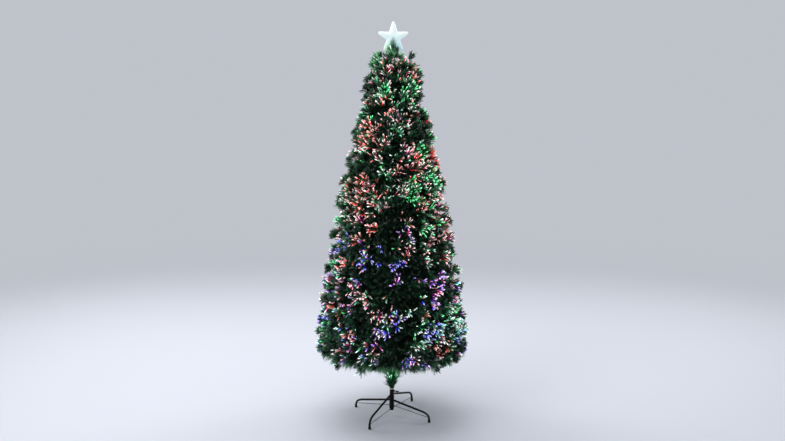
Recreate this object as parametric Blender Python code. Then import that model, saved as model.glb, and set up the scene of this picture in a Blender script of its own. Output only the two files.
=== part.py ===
"""Slim fibre optic Christmas tree, 1.8 m tall, on a folding four-legged stand.

Metres, +Z up. The origin is on the floor, on the axis of the pole. -Y is the front.
"""

import math

import bmesh
import bpy
from mathutils import Matrix, Vector

# Clearances, and how close a swept tube's doubled corners lie, as a share of its radius
fit_gap = 0.0003
weld_share = 0.01
eye_back_gap = 0.0008
cut_overrun = 0.002

# Digits to which two ways of stitching loops are told apart, so that equal ones always tie
mismatch_digits = 6

# Angle in degrees above which an edge stays sharp
smooth_limit = 40.0
star_smooth_limit = 30.0

# Pole: three tubes that plug together
pole_radius = 0.008
pole_wall = 0.0008
pole_tail_length = 0.080
pole_tip_radius = 0.003
pole_tip_length = 0.030
pole_sides = 16

# Stand: centre tube, swivel sleeve, legs, braces, foot caps
stand_wall = 0.0012
stand_tube_bottom = 0.025
stand_tube_top = 0.126
stand_floor_thickness = 0.003
stand_sides = 24
sleeve_wall = 0.0015
leg_radius = 0.00475
leg_resolution = 3
foot_circle_radius = 0.193
leg_bend_share = 0.82
leg_bend_steps = 7
fixed_leg_root_height = 0.100
fixed_leg_bend_height = 0.056
swivel_leg_root_height = 0.072
swivel_leg_bend_height = 0.045
brace_radius = 0.0012
brace_resolution = 1
fixed_brace_height = 0.032
swivel_brace_height = 0.048
brace_foot_height = 0.022
foot_cap_wall = 0.0011
foot_cap_height = 0.014
foot_cap_floor = 0.0025
foot_cap_chamfer = 0.0010
foot_cap_sides = 14
stand_turn = 30.8
swivel_turn = 3.7

# Clamp screw at the top of the stand tube
clamp_height = 0.118
clamp_turn = -22.0
clamp_boss_radius = 0.0044
clamp_boss_reach = 0.005
clamp_screw_radius = 0.0021
clamp_screw_reach = 0.006
clamp_collar_radius = 0.0034
clamp_collar_length = 0.003
thumb_tab_width = 0.014
thumb_tab_length = 0.012
thumb_tab_thickness = 0.0022
thumb_tab_steps = 6
clamp_sides = 12

# Tie and needle tuft round the bottom of the pole
tie_wall = 0.0022
tie_height = 0.007
tuft_height = 0.165
tuft_wall = 0.0032
tuft_sides = 8
tuft_rise = 48.0
tuft_collar_half_share = 0.03

# Each ring of the tuft, in shares of its height: collar, tips' height, reach, lobe size, length
tuft_ring_shares = (
    (0.08, 0.27, 0.28, 0.095, 0.17),
    (0.50, 0.72, 0.38, 0.120, 0.21),
)

# Lead gland at the back of the pole, midway between the tuft and the lowest hub
gland_flange_radius = 0.0055
gland_flange_thickness = 0.0016
gland_neck_radius = 0.0032
gland_neck_length = 0.0015
gland_bore_radius = 0.0017
gland_sides = 12

# Foliage: an outline from its bottom edge to its top, as (height, radius) shares
foliage_bottom = 0.298
foliage_top = 1.700
foliage_widest_radius = 0.343
outline_shares = (
    (0.0, 0.980),
    (0.062, 1.0),
    (0.222, 0.907),
    (0.402, 0.785),
    (0.480, 0.700),
    (0.558, 0.668),
    (0.655, 0.550),
    (0.760, 0.460),
    (0.829, 0.385),
    (0.879, 0.350),
    (0.936, 0.292),
    (0.960, 0.265),
    (1.0, 0.150),
)

# Brush tips, and how they lie in the outline
tip_length = 0.058
tip_stub_length = 0.020
tip_lobes = 3
tip_lobe_share = 0.54
tip_valley_share = 0.70
tip_pit_share = 0.50
tip_neck_radius = 0.0026
tip_rise_bottom = -8.0
tip_rise_top = 55.0
tip_rise_power = 1.3

# Branches: six tiers, each on a hub of its own
leader_height = 0.079
branch_counts = (6, 6, 5, 5, 4, 3)
branch_turns = (30.0, 0.0, 18.0, 54.0, 22.0, 90.0)
stem_rises = (3.0, 7.0, 12.0, 18.0, 25.0, 32.0)
rows_per_tier = 3
outer_row_columns = 4
middle_row_columns = 3
stem_half_width = 0.0028
stem_collar_shares = (0.45, 0.68, 0.90)
stem_collar_half_length = 0.003

# Hinge of a branch: an eye on a pin between the cheeks of a bracket
pin_radius = 0.0015
pin_sides = 8
eye_wall = 0.0024
eye_half_thickness = 0.0020
eye_sides = 8
heel_reach = 0.006
heel_to_stem = 0.005
bracket_wall = 0.0018
bracket_cheek_height = 0.0040

# Light hubs
hub_wall = 0.0067
hub_height = 0.024
hub_sides_even = 12
hub_sides_five = 10

# Spray of needles round the top of the pole
spray_collar_wall = 0.0042
spray_sides = 10
spray_lower_tip_drop = 0.055
spray_upper_tip_drop = 0.010
spray_upper_tip_radius = 0.050
spray_upper_tip_rise = 62.0
spray_upper_lobe_radius = 0.0165
spray_collar_drop = 0.085
spray_collar_pitch = 0.040
spray_collar_half_height = 0.004
spray_margin = 0.010
spray_star_clear_angle = 45.0

# Star
star_centre_rise = 0.030
star_radius = 0.0695
star_waist_share = 0.45
star_tip_round = 0.0065
star_depth = 0.011
star_wall = 0.0016
star_inner_share = 0.93
star_ridge_shares = (0.88, 0.52)
star_ridge_depth_shares = (0.60, 0.92)
star_points = 5
star_tip_steps = 4
socket_wall = 0.0025
socket_length = 0.045
socket_neck_radius = 0.0040
socket_neck_length = 0.020
socket_sides = 16

# Sizes that follow from the ones above
stand_bore_radius = pole_radius + fit_gap
stand_tube_radius = stand_bore_radius + stand_wall
sleeve_bore_radius = stand_tube_radius + fit_gap
sleeve_radius = sleeve_bore_radius + sleeve_wall
foot_cap_bore_radius = leg_radius + fit_gap
foot_cap_radius = foot_cap_bore_radius + foot_cap_wall
tie_bottom = stand_tube_top + fit_gap
tuft_bottom = tie_bottom + tie_height + fit_gap
hub_radius = pole_radius + fit_gap + hub_wall
eye_hole_radius = (pin_radius + fit_gap) / math.cos(math.pi / eye_sides)
eye_radius = eye_hole_radius + eye_wall
pin_place_radius = hub_radius + eye_back_gap + eye_radius
branch_tier_pitch = (foliage_top - leader_height - foliage_bottom) / len(branch_counts)
row_pitch = branch_tier_pitch / rows_per_tier
spray_lower_tip_height = foliage_top - spray_lower_tip_drop
spray_upper_tip_height = foliage_top - spray_upper_tip_drop
star_centre_height = foliage_top + star_centre_rise
socket_bore_radius = pole_tip_radius + fit_gap
socket_radius = socket_bore_radius + socket_wall

# Sides of a stem where twigs grow, in the order of its ring corners
side_down, side_plus, side_up, side_minus = range(4)
row_lower, row_middle, row_upper = range(3)

# Twigs of a branch: the collar and side each grows from, then its row and its column
twig_plan = (
    (0, side_minus, row_upper, 0),
    (1, side_minus, row_lower, 0),
    (2, side_minus, row_middle, 0),
    (0, side_plus, row_lower, 3),
    (1, side_plus, row_upper, 3),
    (2, side_plus, row_middle, 2),
    (0, side_up, row_upper, 1),
    (1, side_up, row_upper, 2),
    (0, side_down, row_lower, 2),
    (1, side_down, row_lower, 1),
)
end_twig_row, end_twig_column = row_middle, 1


def clear_scene():
    for old in list(bpy.data.objects):
        bpy.data.objects.remove(old, do_unlink=True)


def material(name, colour, roughness, metallic=0.0, glow=0.0):
    surface = bpy.data.materials.new(name)
    surface.use_nodes = True
    shader = surface.node_tree.nodes["Principled BSDF"]
    shader.inputs["Base Color"].default_value = (*colour, 1.0)
    shader.inputs["Roughness"].default_value = roughness
    shader.inputs["Metallic"].default_value = metallic
    shader.inputs["Emission Color"].default_value = (*colour, 1.0)
    shader.inputs["Emission Strength"].default_value = glow
    return surface


def place(name, mesh, surface, location=(0, 0, 0), turn=0.0):
    mesh.materials.clear()
    mesh.materials.append(surface)
    piece = bpy.data.objects.new(name, mesh)
    piece.location = location
    piece.rotation_euler.z = turn
    bpy.context.scene.collection.objects.link(piece)
    return piece


def finished_mesh(bm, name, smooth_angle=None):
    bmesh.ops.recalc_face_normals(bm, faces=bm.faces)
    mesh = bpy.data.meshes.new(name)
    bm.to_mesh(mesh)
    bm.free()
    if smooth_angle is not None:
        mesh.shade_smooth()
        mesh.set_sharp_from_angle(angle=math.radians(smooth_angle))
    return mesh


def turned(name, outline, sides, smooth_angle=smooth_limit):
    """Closed solid of revolution about Z. The outline is (radius, height) points, in order."""
    bm = bmesh.new()
    rings = []
    for radius, height in outline:
        if radius == 0:
            rings.append([bm.verts.new((0, 0, height))])
            continue
        turns = [2 * math.pi * step / sides for step in range(sides)]
        rings.append([bm.verts.new((radius * math.cos(a), radius * math.sin(a), height)) for a in turns])
    closed = outline[0][0] != 0
    pairs = list(zip(rings, rings[1:])) + ([(rings[-1], rings[0])] if closed else [])
    for low, high in pairs:
        for step in range(sides):
            following = (step + 1) % sides
            corners = [low[step % len(low)], low[following % len(low)]]
            corners += [high[following % len(high)], high[step % len(high)]]
            bm.faces.new(list(dict.fromkeys(corners)))
    return finished_mesh(bm, name, smooth_angle)


def ring_outline(inner, outer, bottom, top):
    return ((inner, bottom), (outer, bottom), (outer, top), (inner, top))


def rod_outline(radius, bottom, top):
    return ((0, bottom), (radius, bottom), (radius, top), (0, top))


def extruded(name, outline, depth_low, depth_high, smooth_angle=None):
    """Closed prism: the outline's (x, z) points, carried along Y."""
    bm = bmesh.new()
    face = bm.faces.new([bm.verts.new((x, depth_low, z)) for x, z in outline])
    carried = bmesh.ops.extrude_face_region(bm, geom=[face])["geom"]
    moved = [item for item in carried if isinstance(item, bmesh.types.BMVert)]
    bmesh.ops.translate(bm, verts=moved, vec=(0, depth_high - depth_low, 0))
    return finished_mesh(bm, name, smooth_angle)


def rod_along(name, points, radius, resolution):
    """Round rod along the points, made from a bevelled curve with filled ends."""
    curve = bpy.data.curves.new(name, "CURVE")
    curve.dimensions = "3D"
    curve.bevel_depth = radius
    curve.bevel_resolution = resolution
    curve.use_fill_caps = True
    spline = curve.splines.new("POLY")
    spline.points.add(len(points) - 1)
    for knot, point in zip(spline.points, points):
        knot.co = (*point, 1)
    holder = bpy.data.objects.new(name, curve)
    bpy.context.scene.collection.objects.link(holder)
    depsgraph = bpy.context.evaluated_depsgraph_get()
    swept = bpy.data.meshes.new_from_object(holder.evaluated_get(depsgraph))
    bpy.data.objects.remove(holder, do_unlink=True)
    bm = bmesh.new()
    bm.from_mesh(swept)
    bmesh.ops.remove_doubles(bm, verts=bm.verts, dist=radius * weld_share)
    return finished_mesh(bm, name, smooth_limit)


def joined(name, meshes):
    """One mesh of several separate ones, each given with its 4x4 placing."""
    bm = bmesh.new()
    for mesh, placing in meshes:
        start = len(bm.verts)
        bm.from_mesh(mesh)
        bm.verts.ensure_lookup_table()
        bmesh.ops.transform(bm, matrix=placing, verts=bm.verts[start:])
    return finished_mesh(bm, name)


def tool(name, mesh, location=(0, 0, 0), turn=0.0):
    """A cutter or an addition that only a Boolean uses."""
    piece = bpy.data.objects.new(name, mesh)
    piece.location = location
    piece.rotation_euler.z = turn
    piece.hide_render = True
    piece.display_type = "WIRE"
    bpy.context.scene.collection.objects.link(piece)
    return piece


def boolean(piece, operand, operation):
    step = piece.modifiers.new(operation.title() + " " + operand.name, "BOOLEAN")
    step.operation = operation
    step.solver = "EXACT"
    step.object = operand


def around(radius, turn, height):
    return Vector((radius * math.cos(turn), radius * math.sin(turn), height))


# Foliage layout

def outline_radius(height):
    share = (height - foliage_bottom) / (foliage_top - foliage_bottom)
    share = min(max(share, 0.0), 1.0)
    for (low, radius_low), (high, radius_high) in zip(outline_shares, outline_shares[1:]):
        if share <= high:
            blend = (share - low) / (high - low)
            return foliage_widest_radius * (radius_low + blend * (radius_high - radius_low))
    return foliage_widest_radius * outline_shares[-1][1]


def tip_rise(height):
    share = min(max((height - foliage_bottom) / (foliage_top - foliage_bottom), 0.0), 1.0)
    return math.radians(tip_rise_bottom + (tip_rise_top - tip_rise_bottom) * share ** tip_rise_power)


def lobe_radius_at(height, columns_around):
    column_pitch = 2 * math.pi * outline_radius(height) / columns_around
    return tip_lobe_share * min(row_pitch, column_pitch)


def tip_frame(turn, height, lobe_radius):
    """Centre of a tip's flush end, and the way that it points."""
    rise = tip_rise(height)
    radius = outline_radius(height) - lobe_radius * math.sin(max(rise, 0.0)) / 2
    direction = around(math.cos(rise), turn, math.sin(rise))
    return around(radius, turn, height), direction


def row_height(tier, row):
    return foliage_bottom + branch_tier_pitch * tier + row_pitch * (row + 0.5)


# Brush tips, grown from the faces of a stem or a sleeve

def ring_about(bm, centre, axis, radii):
    """A loop of corners round an axis, the first one uppermost."""
    across = axis.cross(Vector((0, 0, 1))).normalized()
    upward = across.cross(axis).normalized()
    corners = []
    for step, radius in enumerate(radii):
        turn = 2 * math.pi * step / len(radii)
        corners.append(bm.verts.new(centre + radius * (math.cos(turn) * upward + math.sin(turn) * across)))
    return corners


def winding_along(loop, axis):
    """The loop, wound the same way about the axis as ring_about winds."""
    centre = sum((v.co for v in loop), Vector()) / len(loop)
    area = Vector()
    for one, two in zip(loop, loop[1:] + loop[:1]):
        area += (one.co - centre).cross(two.co - centre)
    across = axis.cross(Vector((0, 0, 1))).normalized()
    upward = across.cross(axis).normalized()
    ring_way = upward.cross(across).dot(axis)
    return loop if area.dot(axis) * ring_way > 0 else loop[::-1]


def stitch(bm, low, high):
    """Triangles between two loops that wind the same way and may differ in count."""
    middle_low = sum((v.co for v in low), Vector()) / len(low)
    middle_high = sum((v.co for v in high), Vector()) / len(high)
    axis = (middle_high - middle_low).normalized()

    def spoke(vert, middle):
        out = vert.co - middle
        return (out - axis * out.dot(axis)).normalized()

    def mismatch(shift):
        pairs = ((low[i], high[(shift + i * len(high) // len(low)) % len(high)]) for i in range(len(low)))
        return sum((spoke(one, middle_low) - spoke(two, middle_high)).length for one, two in pairs)

    shift = min(range(len(high)), key=lambda step: round(mismatch(step), mismatch_digits))
    high = high[shift:] + high[:shift]
    i = j = 0
    while i < len(low) or j < len(high):
        advance_low = j >= len(high) or (i < len(low) and (i + 1) / len(low) <= (j + 1) / len(high))
        if advance_low:
            bm.faces.new((low[i % len(low)], low[(i + 1) % len(low)], high[j % len(high)]))
            i += 1
        else:
            bm.faces.new((low[i % len(low)], high[(j + 1) % len(high)], high[j % len(high)]))
            j += 1


def grow_tip(bm, base, end_centre, direction, lobe_radius, length):
    """A twig from the base loop to a neck, then a brush that flares to three lobes."""
    neck_centre = end_centre - direction * length
    middle = sum((v.co for v in base), Vector()) / len(base)
    twig_way = (neck_centre - middle).normalized()
    neck_way = (twig_way + direction).normalized()
    neck = ring_about(bm, neck_centre, neck_way, [tip_neck_radius] * tip_lobes)
    valley_radius = lobe_radius * tip_valley_share
    rim = ring_about(bm, end_centre, direction, [lobe_radius, valley_radius] * tip_lobes)
    stitch(bm, winding_along(base, twig_way), neck)
    stitch(bm, neck, rim)
    pit = bm.verts.new(end_centre - direction * length * tip_pit_share)
    for one, two in zip(rim, rim[1:] + rim[:1]):
        bm.faces.new((one, two, pit))


# Branches

def tier_pin_height(tier):
    """Height of a tier's hinge pins: its stems aim at the middle tips of its middle row."""
    columns = branch_counts[tier] * outer_row_columns
    height = row_height(tier, row_middle)
    centre, direction = tip_frame(0.0, height, lobe_radius_at(height, columns))
    stem_end = centre - direction * (tip_length + tip_stub_length)
    return stem_end.z - (stem_end.x - pin_place_radius) * math.tan(math.radians(stem_rises[tier]))


def branch_mesh(tier):
    """Branch along +X, its origin on the hinge pin's axis, which lies along Y."""
    sector = 2 * math.pi / branch_counts[tier]
    pin = Vector((pin_place_radius, 0, tier_pin_height(tier)))
    rise = math.radians(stem_rises[tier])
    along = Vector((math.cos(rise), 0, math.sin(rise)))
    sideways = Vector((0, 1, 0))
    normal = Vector((-math.sin(rise), 0, math.cos(rise)))
    columns_around = branch_counts[tier] * outer_row_columns

    def tip(row, column):
        columns = middle_row_columns if row == row_middle else outer_row_columns
        turn = sector * ((column + 0.5) / columns - 0.5)
        height = row_height(tier, row)
        lobe_radius = lobe_radius_at(height, columns_around)
        centre, direction = tip_frame(turn, height, lobe_radius)
        return centre - pin, direction, lobe_radius

    bm = bmesh.new()

    # Eye round the hinge pin, with one flat towards the stem
    turns = [2 * math.pi * (step - 0.5) / eye_sides for step in range(eye_sides)]
    loops = {}
    for radius in (eye_radius, eye_hole_radius):
        spokes = [radius * (math.cos(a) * along + math.sin(a) * normal) for a in turns]
        for side in (-1, 1):
            offset = side * eye_half_thickness * sideways
            loops[radius, side] = [bm.verts.new(spoke + offset) for spoke in spokes]
    for step in range(eye_sides):
        following = (step + 1) % eye_sides
        outer = [loops[eye_radius, side] for side in (-1, 1)]
        inner = [loops[eye_hole_radius, side] for side in (-1, 1)]
        for one, two in zip(outer, inner):
            bm.faces.new((one[step], one[following], two[following], two[step]))
        bm.faces.new((inner[0][step], inner[0][following], inner[1][following], inner[1][step]))
        if step:
            bm.faces.new((outer[0][step], outer[0][following], outer[1][following], outer[1][step]))
    low, high = loops[eye_radius, -1], loops[eye_radius, 1]
    ring = [low[0], high[0], high[1], low[1]]

    # Stem: heel, then collars whose four sides can each carry a twig
    end_centre, end_direction, end_lobe = tip(end_twig_row, end_twig_column)
    stem_end = end_centre - end_direction * (tip_length + tip_stub_length)
    stem_length = stem_end.length
    stations = [
        (heel_reach, eye_half_thickness, eye_radius),
        (heel_reach + heel_to_stem, stem_half_width, stem_half_width),
    ]
    collar_spans = {}
    for number, share in enumerate(stem_collar_shares):
        for offset in (-stem_collar_half_length, stem_collar_half_length):
            collar_spans[len(stations)] = number
            stations.append((stem_length * share + offset, stem_half_width, stem_half_width))
    stations.append((stem_length, stem_half_width, stem_half_width))
    carried = {(collar, side): (row, column) for collar, side, row, column in twig_plan}
    for number, (reach, half_width, half_height) in enumerate(stations):
        corners = ((-1, -1), (1, -1), (1, 1), (-1, 1))
        offsets = [sideways * y * half_width + normal * z * half_height for y, z in corners]
        following = [bm.verts.new(along * reach + offset) for offset in offsets]
        collar = collar_spans.get(number)
        on_collar = collar is not None and collar_spans.get(number - 1) == collar
        for side in range(4):
            beside = (side + 1) % 4
            loop = [ring[side], ring[beside], following[beside], following[side]]
            if on_collar and (collar, side) in carried:
                grow_tip(bm, loop, *tip(*carried[collar, side]), tip_length)
            else:
                bm.faces.new(loop)
        ring = following
    grow_tip(bm, ring, end_centre, end_direction, end_lobe, tip_length)
    return finished_mesh(bm, f"branch_tier_{tier + 1}")


def add_branches(surface):
    for tier, count in enumerate(branch_counts):
        mesh = branch_mesh(tier)
        for number in range(count):
            turn = math.radians(branch_turns[tier]) + 2 * math.pi * number / count
            location = around(pin_place_radius, turn, tier_pin_height(tier))
            place(f"branch_{tier + 1}_{number + 1}", mesh, surface, location, turn)


# Hubs

def bracket_outline():
    """Section of a bracket: a channel open at the top, as (across, normal) points."""
    inner = eye_half_thickness + fit_gap
    outer = inner + bracket_wall
    floor = -eye_radius - fit_gap
    base = floor - bracket_wall
    top = bracket_cheek_height
    return (
        (-outer, base), (outer, base), (outer, top), (inner, top),
        (inner, floor), (-inner, floor), (-inner, top), (-outer, top),
    )


def hub_parts(tier):
    """The brackets and the pins of one hub, each as one mesh, about the hub's own centre."""
    rise = math.radians(stem_rises[tier])
    channel = bmesh.new()
    back = -(pin_place_radius - pole_radius / 2)
    face = channel.faces.new([channel.verts.new((back, y, z)) for y, z in bracket_outline()])
    carried = bmesh.ops.extrude_face_region(channel, geom=[face])["geom"]
    moved = [item for item in carried if isinstance(item, bmesh.types.BMVert)]
    bmesh.ops.translate(channel, verts=moved, vec=(heel_reach - back, 0, 0))
    channel_mesh = finished_mesh(channel, "channel")
    half_pin = eye_half_thickness + fit_gap + bracket_wall / 2
    pin_mesh = turned("pin", rod_outline(pin_radius, -half_pin, half_pin), pin_sides)
    lay_pin = Matrix.Rotation(math.pi / 2, 4, "X")
    lean = Matrix.Rotation(-rise, 4, "Y")
    shift = Matrix.Translation((pin_place_radius, 0, 0))
    brackets, pins = [], []
    for number in range(branch_counts[tier]):
        turn = math.radians(branch_turns[tier]) + 2 * math.pi * number / branch_counts[tier]
        swing = Matrix.Rotation(turn, 4, "Z")
        brackets.append((channel_mesh, swing @ shift @ lean))
        pins.append((pin_mesh, swing @ shift @ lean @ lay_pin))
    return joined(f"brackets_{tier + 1}", brackets), joined(f"pins_{tier + 1}", pins)


def add_hubs(surface):
    for tier, count in enumerate(branch_counts):
        name = f"light_hub_{tier + 1}"
        centre = (0, 0, tier_pin_height(tier))
        sides = hub_sides_five if count == 5 else hub_sides_even
        half_side = math.pi / sides
        flat_turn = math.radians(branch_turns[tier]) + half_side
        outline = rod_outline(hub_radius / math.cos(half_side), -hub_height / 2, hub_height / 2)
        hub = place(name, turned(name, outline, sides), surface, centre, flat_turn)
        brackets, pins = hub_parts(tier)
        boolean(hub, tool(f"brackets_{tier + 1}", brackets, centre), "UNION")
        boolean(hub, tool(f"pins_{tier + 1}", pins, centre), "UNION")
        bore = turned("hub_bore", rod_outline(pole_radius + fit_gap, -hub_height, hub_height), pole_sides)
        boolean(hub, tool(f"hub_bore_{tier + 1}", bore, centre), "DIFFERENCE")


# Pole

def gland_height():
    """Midway between the top of the tuft and the underside of the lowest hub."""
    return (tuft_bottom + tuft_height + tier_pin_height(0) - hub_height / 2) / 2


def pole_joint_height(tier):
    """Where two pole sections meet: halfway between the hubs of this tier and the next."""
    return (tier_pin_height(tier) + tier_pin_height(tier + 1)) / 2


def socket_top():
    """Top of the star socket's wide part, just under the star's lower edges."""
    points = star_outline(1.0)
    for (x_one, z_one), (x_two, z_two) in zip(points, points[1:] + points[:1]):
        if min(x_one, x_two) <= socket_radius < max(x_one, x_two) and max(z_one, z_two) < 0:
            blend = (socket_radius - x_one) / (x_two - x_one)
            return star_centre_height + z_one + blend * (z_two - z_one) - fit_gap


def add_poles(surface):
    bore = pole_radius - pole_wall
    tail = bore - fit_gap
    tail_bore = tail - pole_wall
    lower_top = pole_joint_height(1)
    middle_top = pole_joint_height(3)
    upper_top = socket_top() - socket_length - fit_gap
    foot = stand_tube_bottom + stand_floor_thickness + fit_gap
    lower_outline = ring_outline(bore, pole_radius, foot, lower_top)
    lower = place("lower_pole", turned("lower_pole", lower_outline, pole_sides), surface)
    hole = rod_outline(gland_neck_radius + fit_gap, 0, pole_radius + cut_overrun)
    hole_mesh = turned("gland_hole", hole, gland_sides)
    cutter = tool("gland_hole", hole_mesh, (0, 0, gland_height()))
    cutter.rotation_euler.x = -math.pi / 2
    boolean(lower, cutter, "DIFFERENCE")

    def tail_outline(shoulder):
        neck = shoulder + pole_wall
        end = shoulder - pole_tail_length
        outside = ((tail_bore, end), (tail, end), (tail, shoulder), (pole_radius, shoulder))
        inside = ((bore, neck), (tail_bore, neck - pole_wall / 2))
        return outside, inside

    outside, inside = tail_outline(lower_top + fit_gap)
    middle_outline = outside + ((pole_radius, middle_top), (bore, middle_top)) + inside
    place("middle_pole", turned("middle_pole", middle_outline, pole_sides), surface)
    outside, inside = tail_outline(middle_top + fit_gap)
    tip_top = upper_top + pole_tip_length
    tip = ((pole_radius, upper_top), (pole_tip_radius, upper_top), (pole_tip_radius, tip_top), (0, tip_top))
    hollow = ((0, upper_top - pole_wall), (bore, upper_top - pole_wall))
    profile = hollow + inside + outside + tip
    place("upper_pole", turned("upper_pole", profile, pole_sides), surface)


# Stand

def leg_path(root_height, bend_height, tube_radius):
    """Leg centre line in the XZ plane: a straight slope, then a bend down to the foot."""
    bend_reach = foot_circle_radius * leg_bend_share
    slope = (root_height - bend_height) / (bend_reach - tube_radius)
    start = Vector((0, 0, root_height + slope * tube_radius))
    bend = Vector((bend_reach, 0, bend_height))
    corner = Vector((foot_circle_radius, 0, bend_height - slope * (foot_circle_radius - bend_reach)))
    ankle = Vector((foot_circle_radius, 0, min(foot_cap_height, corner.z * leg_bend_share)))
    path = [start]
    for step in range(leg_bend_steps + 1):
        t = step / leg_bend_steps
        path.append(bend * (1 - t) ** 2 + corner * 2 * t * (1 - t) + ankle * t ** 2)
    path.append(Vector((foot_circle_radius, 0, foot_cap_floor + fit_gap)))
    return path, slope


def add_leg(label, turn, root_height, bend_height, brace_height, tube_radius, steel, rubber):
    path, _ = leg_path(root_height, bend_height, tube_radius)
    leg = place(f"leg_{label}", rod_along(f"leg_{label}", path, leg_radius, leg_resolution), steel, turn=turn)
    bore = rod_outline(tube_radius + fit_gap, 0, stand_tube_top)
    core = tool(f"core_{label}", turned(f"core_{label}", bore, stand_sides))
    boolean(leg, core, "DIFFERENCE")

    ends = (Vector((0, 0, brace_height)), Vector((foot_circle_radius, 0, brace_foot_height)))
    rod = rod_along(f"brace_{label}", ends, brace_radius, brace_resolution)
    brace = place(f"brace_{label}", rod, steel, turn=turn)
    boolean(brace, core, "DIFFERENCE")
    sheath = rod_along(f"sheath_{label}", path, leg_radius + fit_gap, leg_resolution)
    boolean(brace, tool(f"sheath_{label}", sheath, turn=turn), "DIFFERENCE")

    cap_outline = (
        (0, 0), (foot_cap_radius - foot_cap_chamfer, 0), (foot_cap_radius, foot_cap_chamfer),
        (foot_cap_radius, foot_cap_height), (foot_cap_bore_radius, foot_cap_height),
        (foot_cap_bore_radius, foot_cap_floor), (0, foot_cap_floor),
    )
    cap_mesh = turned(f"foot_cap_{label}", cap_outline, foot_cap_sides)
    place(f"foot_cap_{label}", cap_mesh, rubber, around(foot_circle_radius, turn, 0), turn)


def add_clamp(tube, steel):
    """Boss on the stand tube, and the thumb screw that runs in it against the pole."""
    turn = math.radians(clamp_turn)
    centre = Vector((0, 0, clamp_height))
    boss_end = stand_tube_radius + clamp_boss_reach

    def sideways(name, outline, kind):
        mesh = turned(name, outline, clamp_sides)
        piece = tool(name, mesh, centre) if kind is None else place(name, mesh, kind, centre)
        piece.rotation_euler = (0, math.pi / 2, turn)
        return piece

    boolean(tube, sideways("clamp_boss", rod_outline(clamp_boss_radius, 0, boss_end), None), "UNION")
    bore_bottom = stand_tube_bottom + stand_floor_thickness
    bore = rod_outline(stand_bore_radius, bore_bottom, stand_tube_top + cut_overrun)
    boolean(tube, tool("pole_bore", turned("pole_bore", bore, stand_sides)), "DIFFERENCE")
    hole = rod_outline(clamp_screw_radius + fit_gap, 0, boss_end + cut_overrun)
    boolean(tube, sideways("clamp_hole", hole, None), "DIFFERENCE")

    collar_start = boss_end + clamp_screw_reach
    collar_end = collar_start + clamp_collar_length
    screw_start = pole_radius + fit_gap
    screw_outline = (
        (0, screw_start), (clamp_screw_radius, screw_start), (clamp_screw_radius, collar_start),
        (clamp_collar_radius, collar_start), (clamp_collar_radius, collar_end), (0, collar_end),
    )
    screw = sideways("clamp_screw", screw_outline, steel)
    half_width = thumb_tab_width / 2
    tab_start = collar_end - thumb_tab_thickness
    tab_outline = [(tab_start, -clamp_collar_radius), (tab_start, clamp_collar_radius)]
    for step in range(thumb_tab_steps + 1):
        swing = math.pi * (0.5 - step / thumb_tab_steps)
        reach = collar_end + thumb_tab_length / 2 + thumb_tab_length / 2 * math.cos(swing)
        tab_outline.append((reach, half_width * math.sin(swing)))
    tab_mesh = extruded("thumb_tab", tab_outline, -thumb_tab_thickness / 2, thumb_tab_thickness / 2)
    tab = tool("thumb_tab", tab_mesh, centre)
    tab.rotation_euler = (math.pi / 2, 0, turn)
    boolean(screw, tab, "UNION")


def add_stand(steel, rubber):
    tube_outline = rod_outline(stand_tube_radius, stand_tube_bottom, stand_tube_top)
    tube = place("stand_tube", turned("stand_tube", tube_outline, stand_sides), steel)
    add_clamp(tube, steel)

    _, fixed_slope = leg_path(fixed_leg_root_height, fixed_leg_bend_height, stand_tube_radius)
    leg_half_height = leg_radius * math.hypot(1, fixed_slope)
    under_leg = fixed_leg_root_height - fixed_slope * (sleeve_radius - stand_tube_radius) - leg_half_height
    sleeve_top = under_leg - fit_gap
    sleeve_bottom = fixed_brace_height + brace_radius + fit_gap
    sleeve = ring_outline(sleeve_bore_radius, sleeve_radius, sleeve_bottom, sleeve_top)
    place("swivel_sleeve", turned("swivel_sleeve", sleeve, stand_sides), steel)

    fixed = (fixed_leg_root_height, fixed_leg_bend_height, fixed_brace_height, stand_tube_radius)
    swivel = (swivel_leg_root_height, swivel_leg_bend_height, swivel_brace_height, sleeve_radius)
    legs = (
        ("front_left", 270.0 - stand_turn, fixed),
        ("back_right", 90.0 - stand_turn, fixed),
        ("left", 180.0 - stand_turn + swivel_turn, swivel),
        ("right", swivel_turn - stand_turn, swivel),
    )
    for label, turn, sizes in legs:
        add_leg(label, math.radians(turn), *sizes, steel, rubber)


# Rings of needles that the pole carries itself

def sleeve_with_tips(name, bore, wall, sides, bottom, top, collars, surface):
    """Sleeve round the pole. A collar is a height, a half height and a tip for each side, or None."""
    bm = bmesh.new()

    def loop(radius, height):
        turns = [2 * math.pi * (step - 0.5) / sides for step in range(sides)]
        return [bm.verts.new(around(radius, a, height)) for a in turns]

    def band(low, high, tips=None):
        for step in range(sides):
            following = (step + 1) % sides
            corners = [low[step], low[following], high[following], high[step]]
            if tips and tips[step]:
                grow_tip(bm, corners, *tips[step])
            else:
                bm.faces.new(corners)

    inner_low, inner_high = loop(bore, bottom), loop(bore, top)
    outer = loop(bore + wall, bottom)
    band(inner_low, inner_high)
    band(inner_low, outer)
    for height, half_height, tips in collars:
        collar_low = loop(bore + wall, height - half_height)
        collar_high = loop(bore + wall, height + half_height)
        band(outer, collar_low)
        band(collar_low, collar_high, tips)
        outer = collar_high
    outer_high = loop(bore + wall, top)
    band(outer, outer_high)
    band(outer_high, inner_high)
    return place(name, finished_mesh(bm, name), surface)


def tip_at(turn, radius, height, rise, lobe_radius, length):
    direction = around(math.cos(rise), turn, math.sin(rise))
    return around(radius, turn, height), direction, lobe_radius, length


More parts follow.
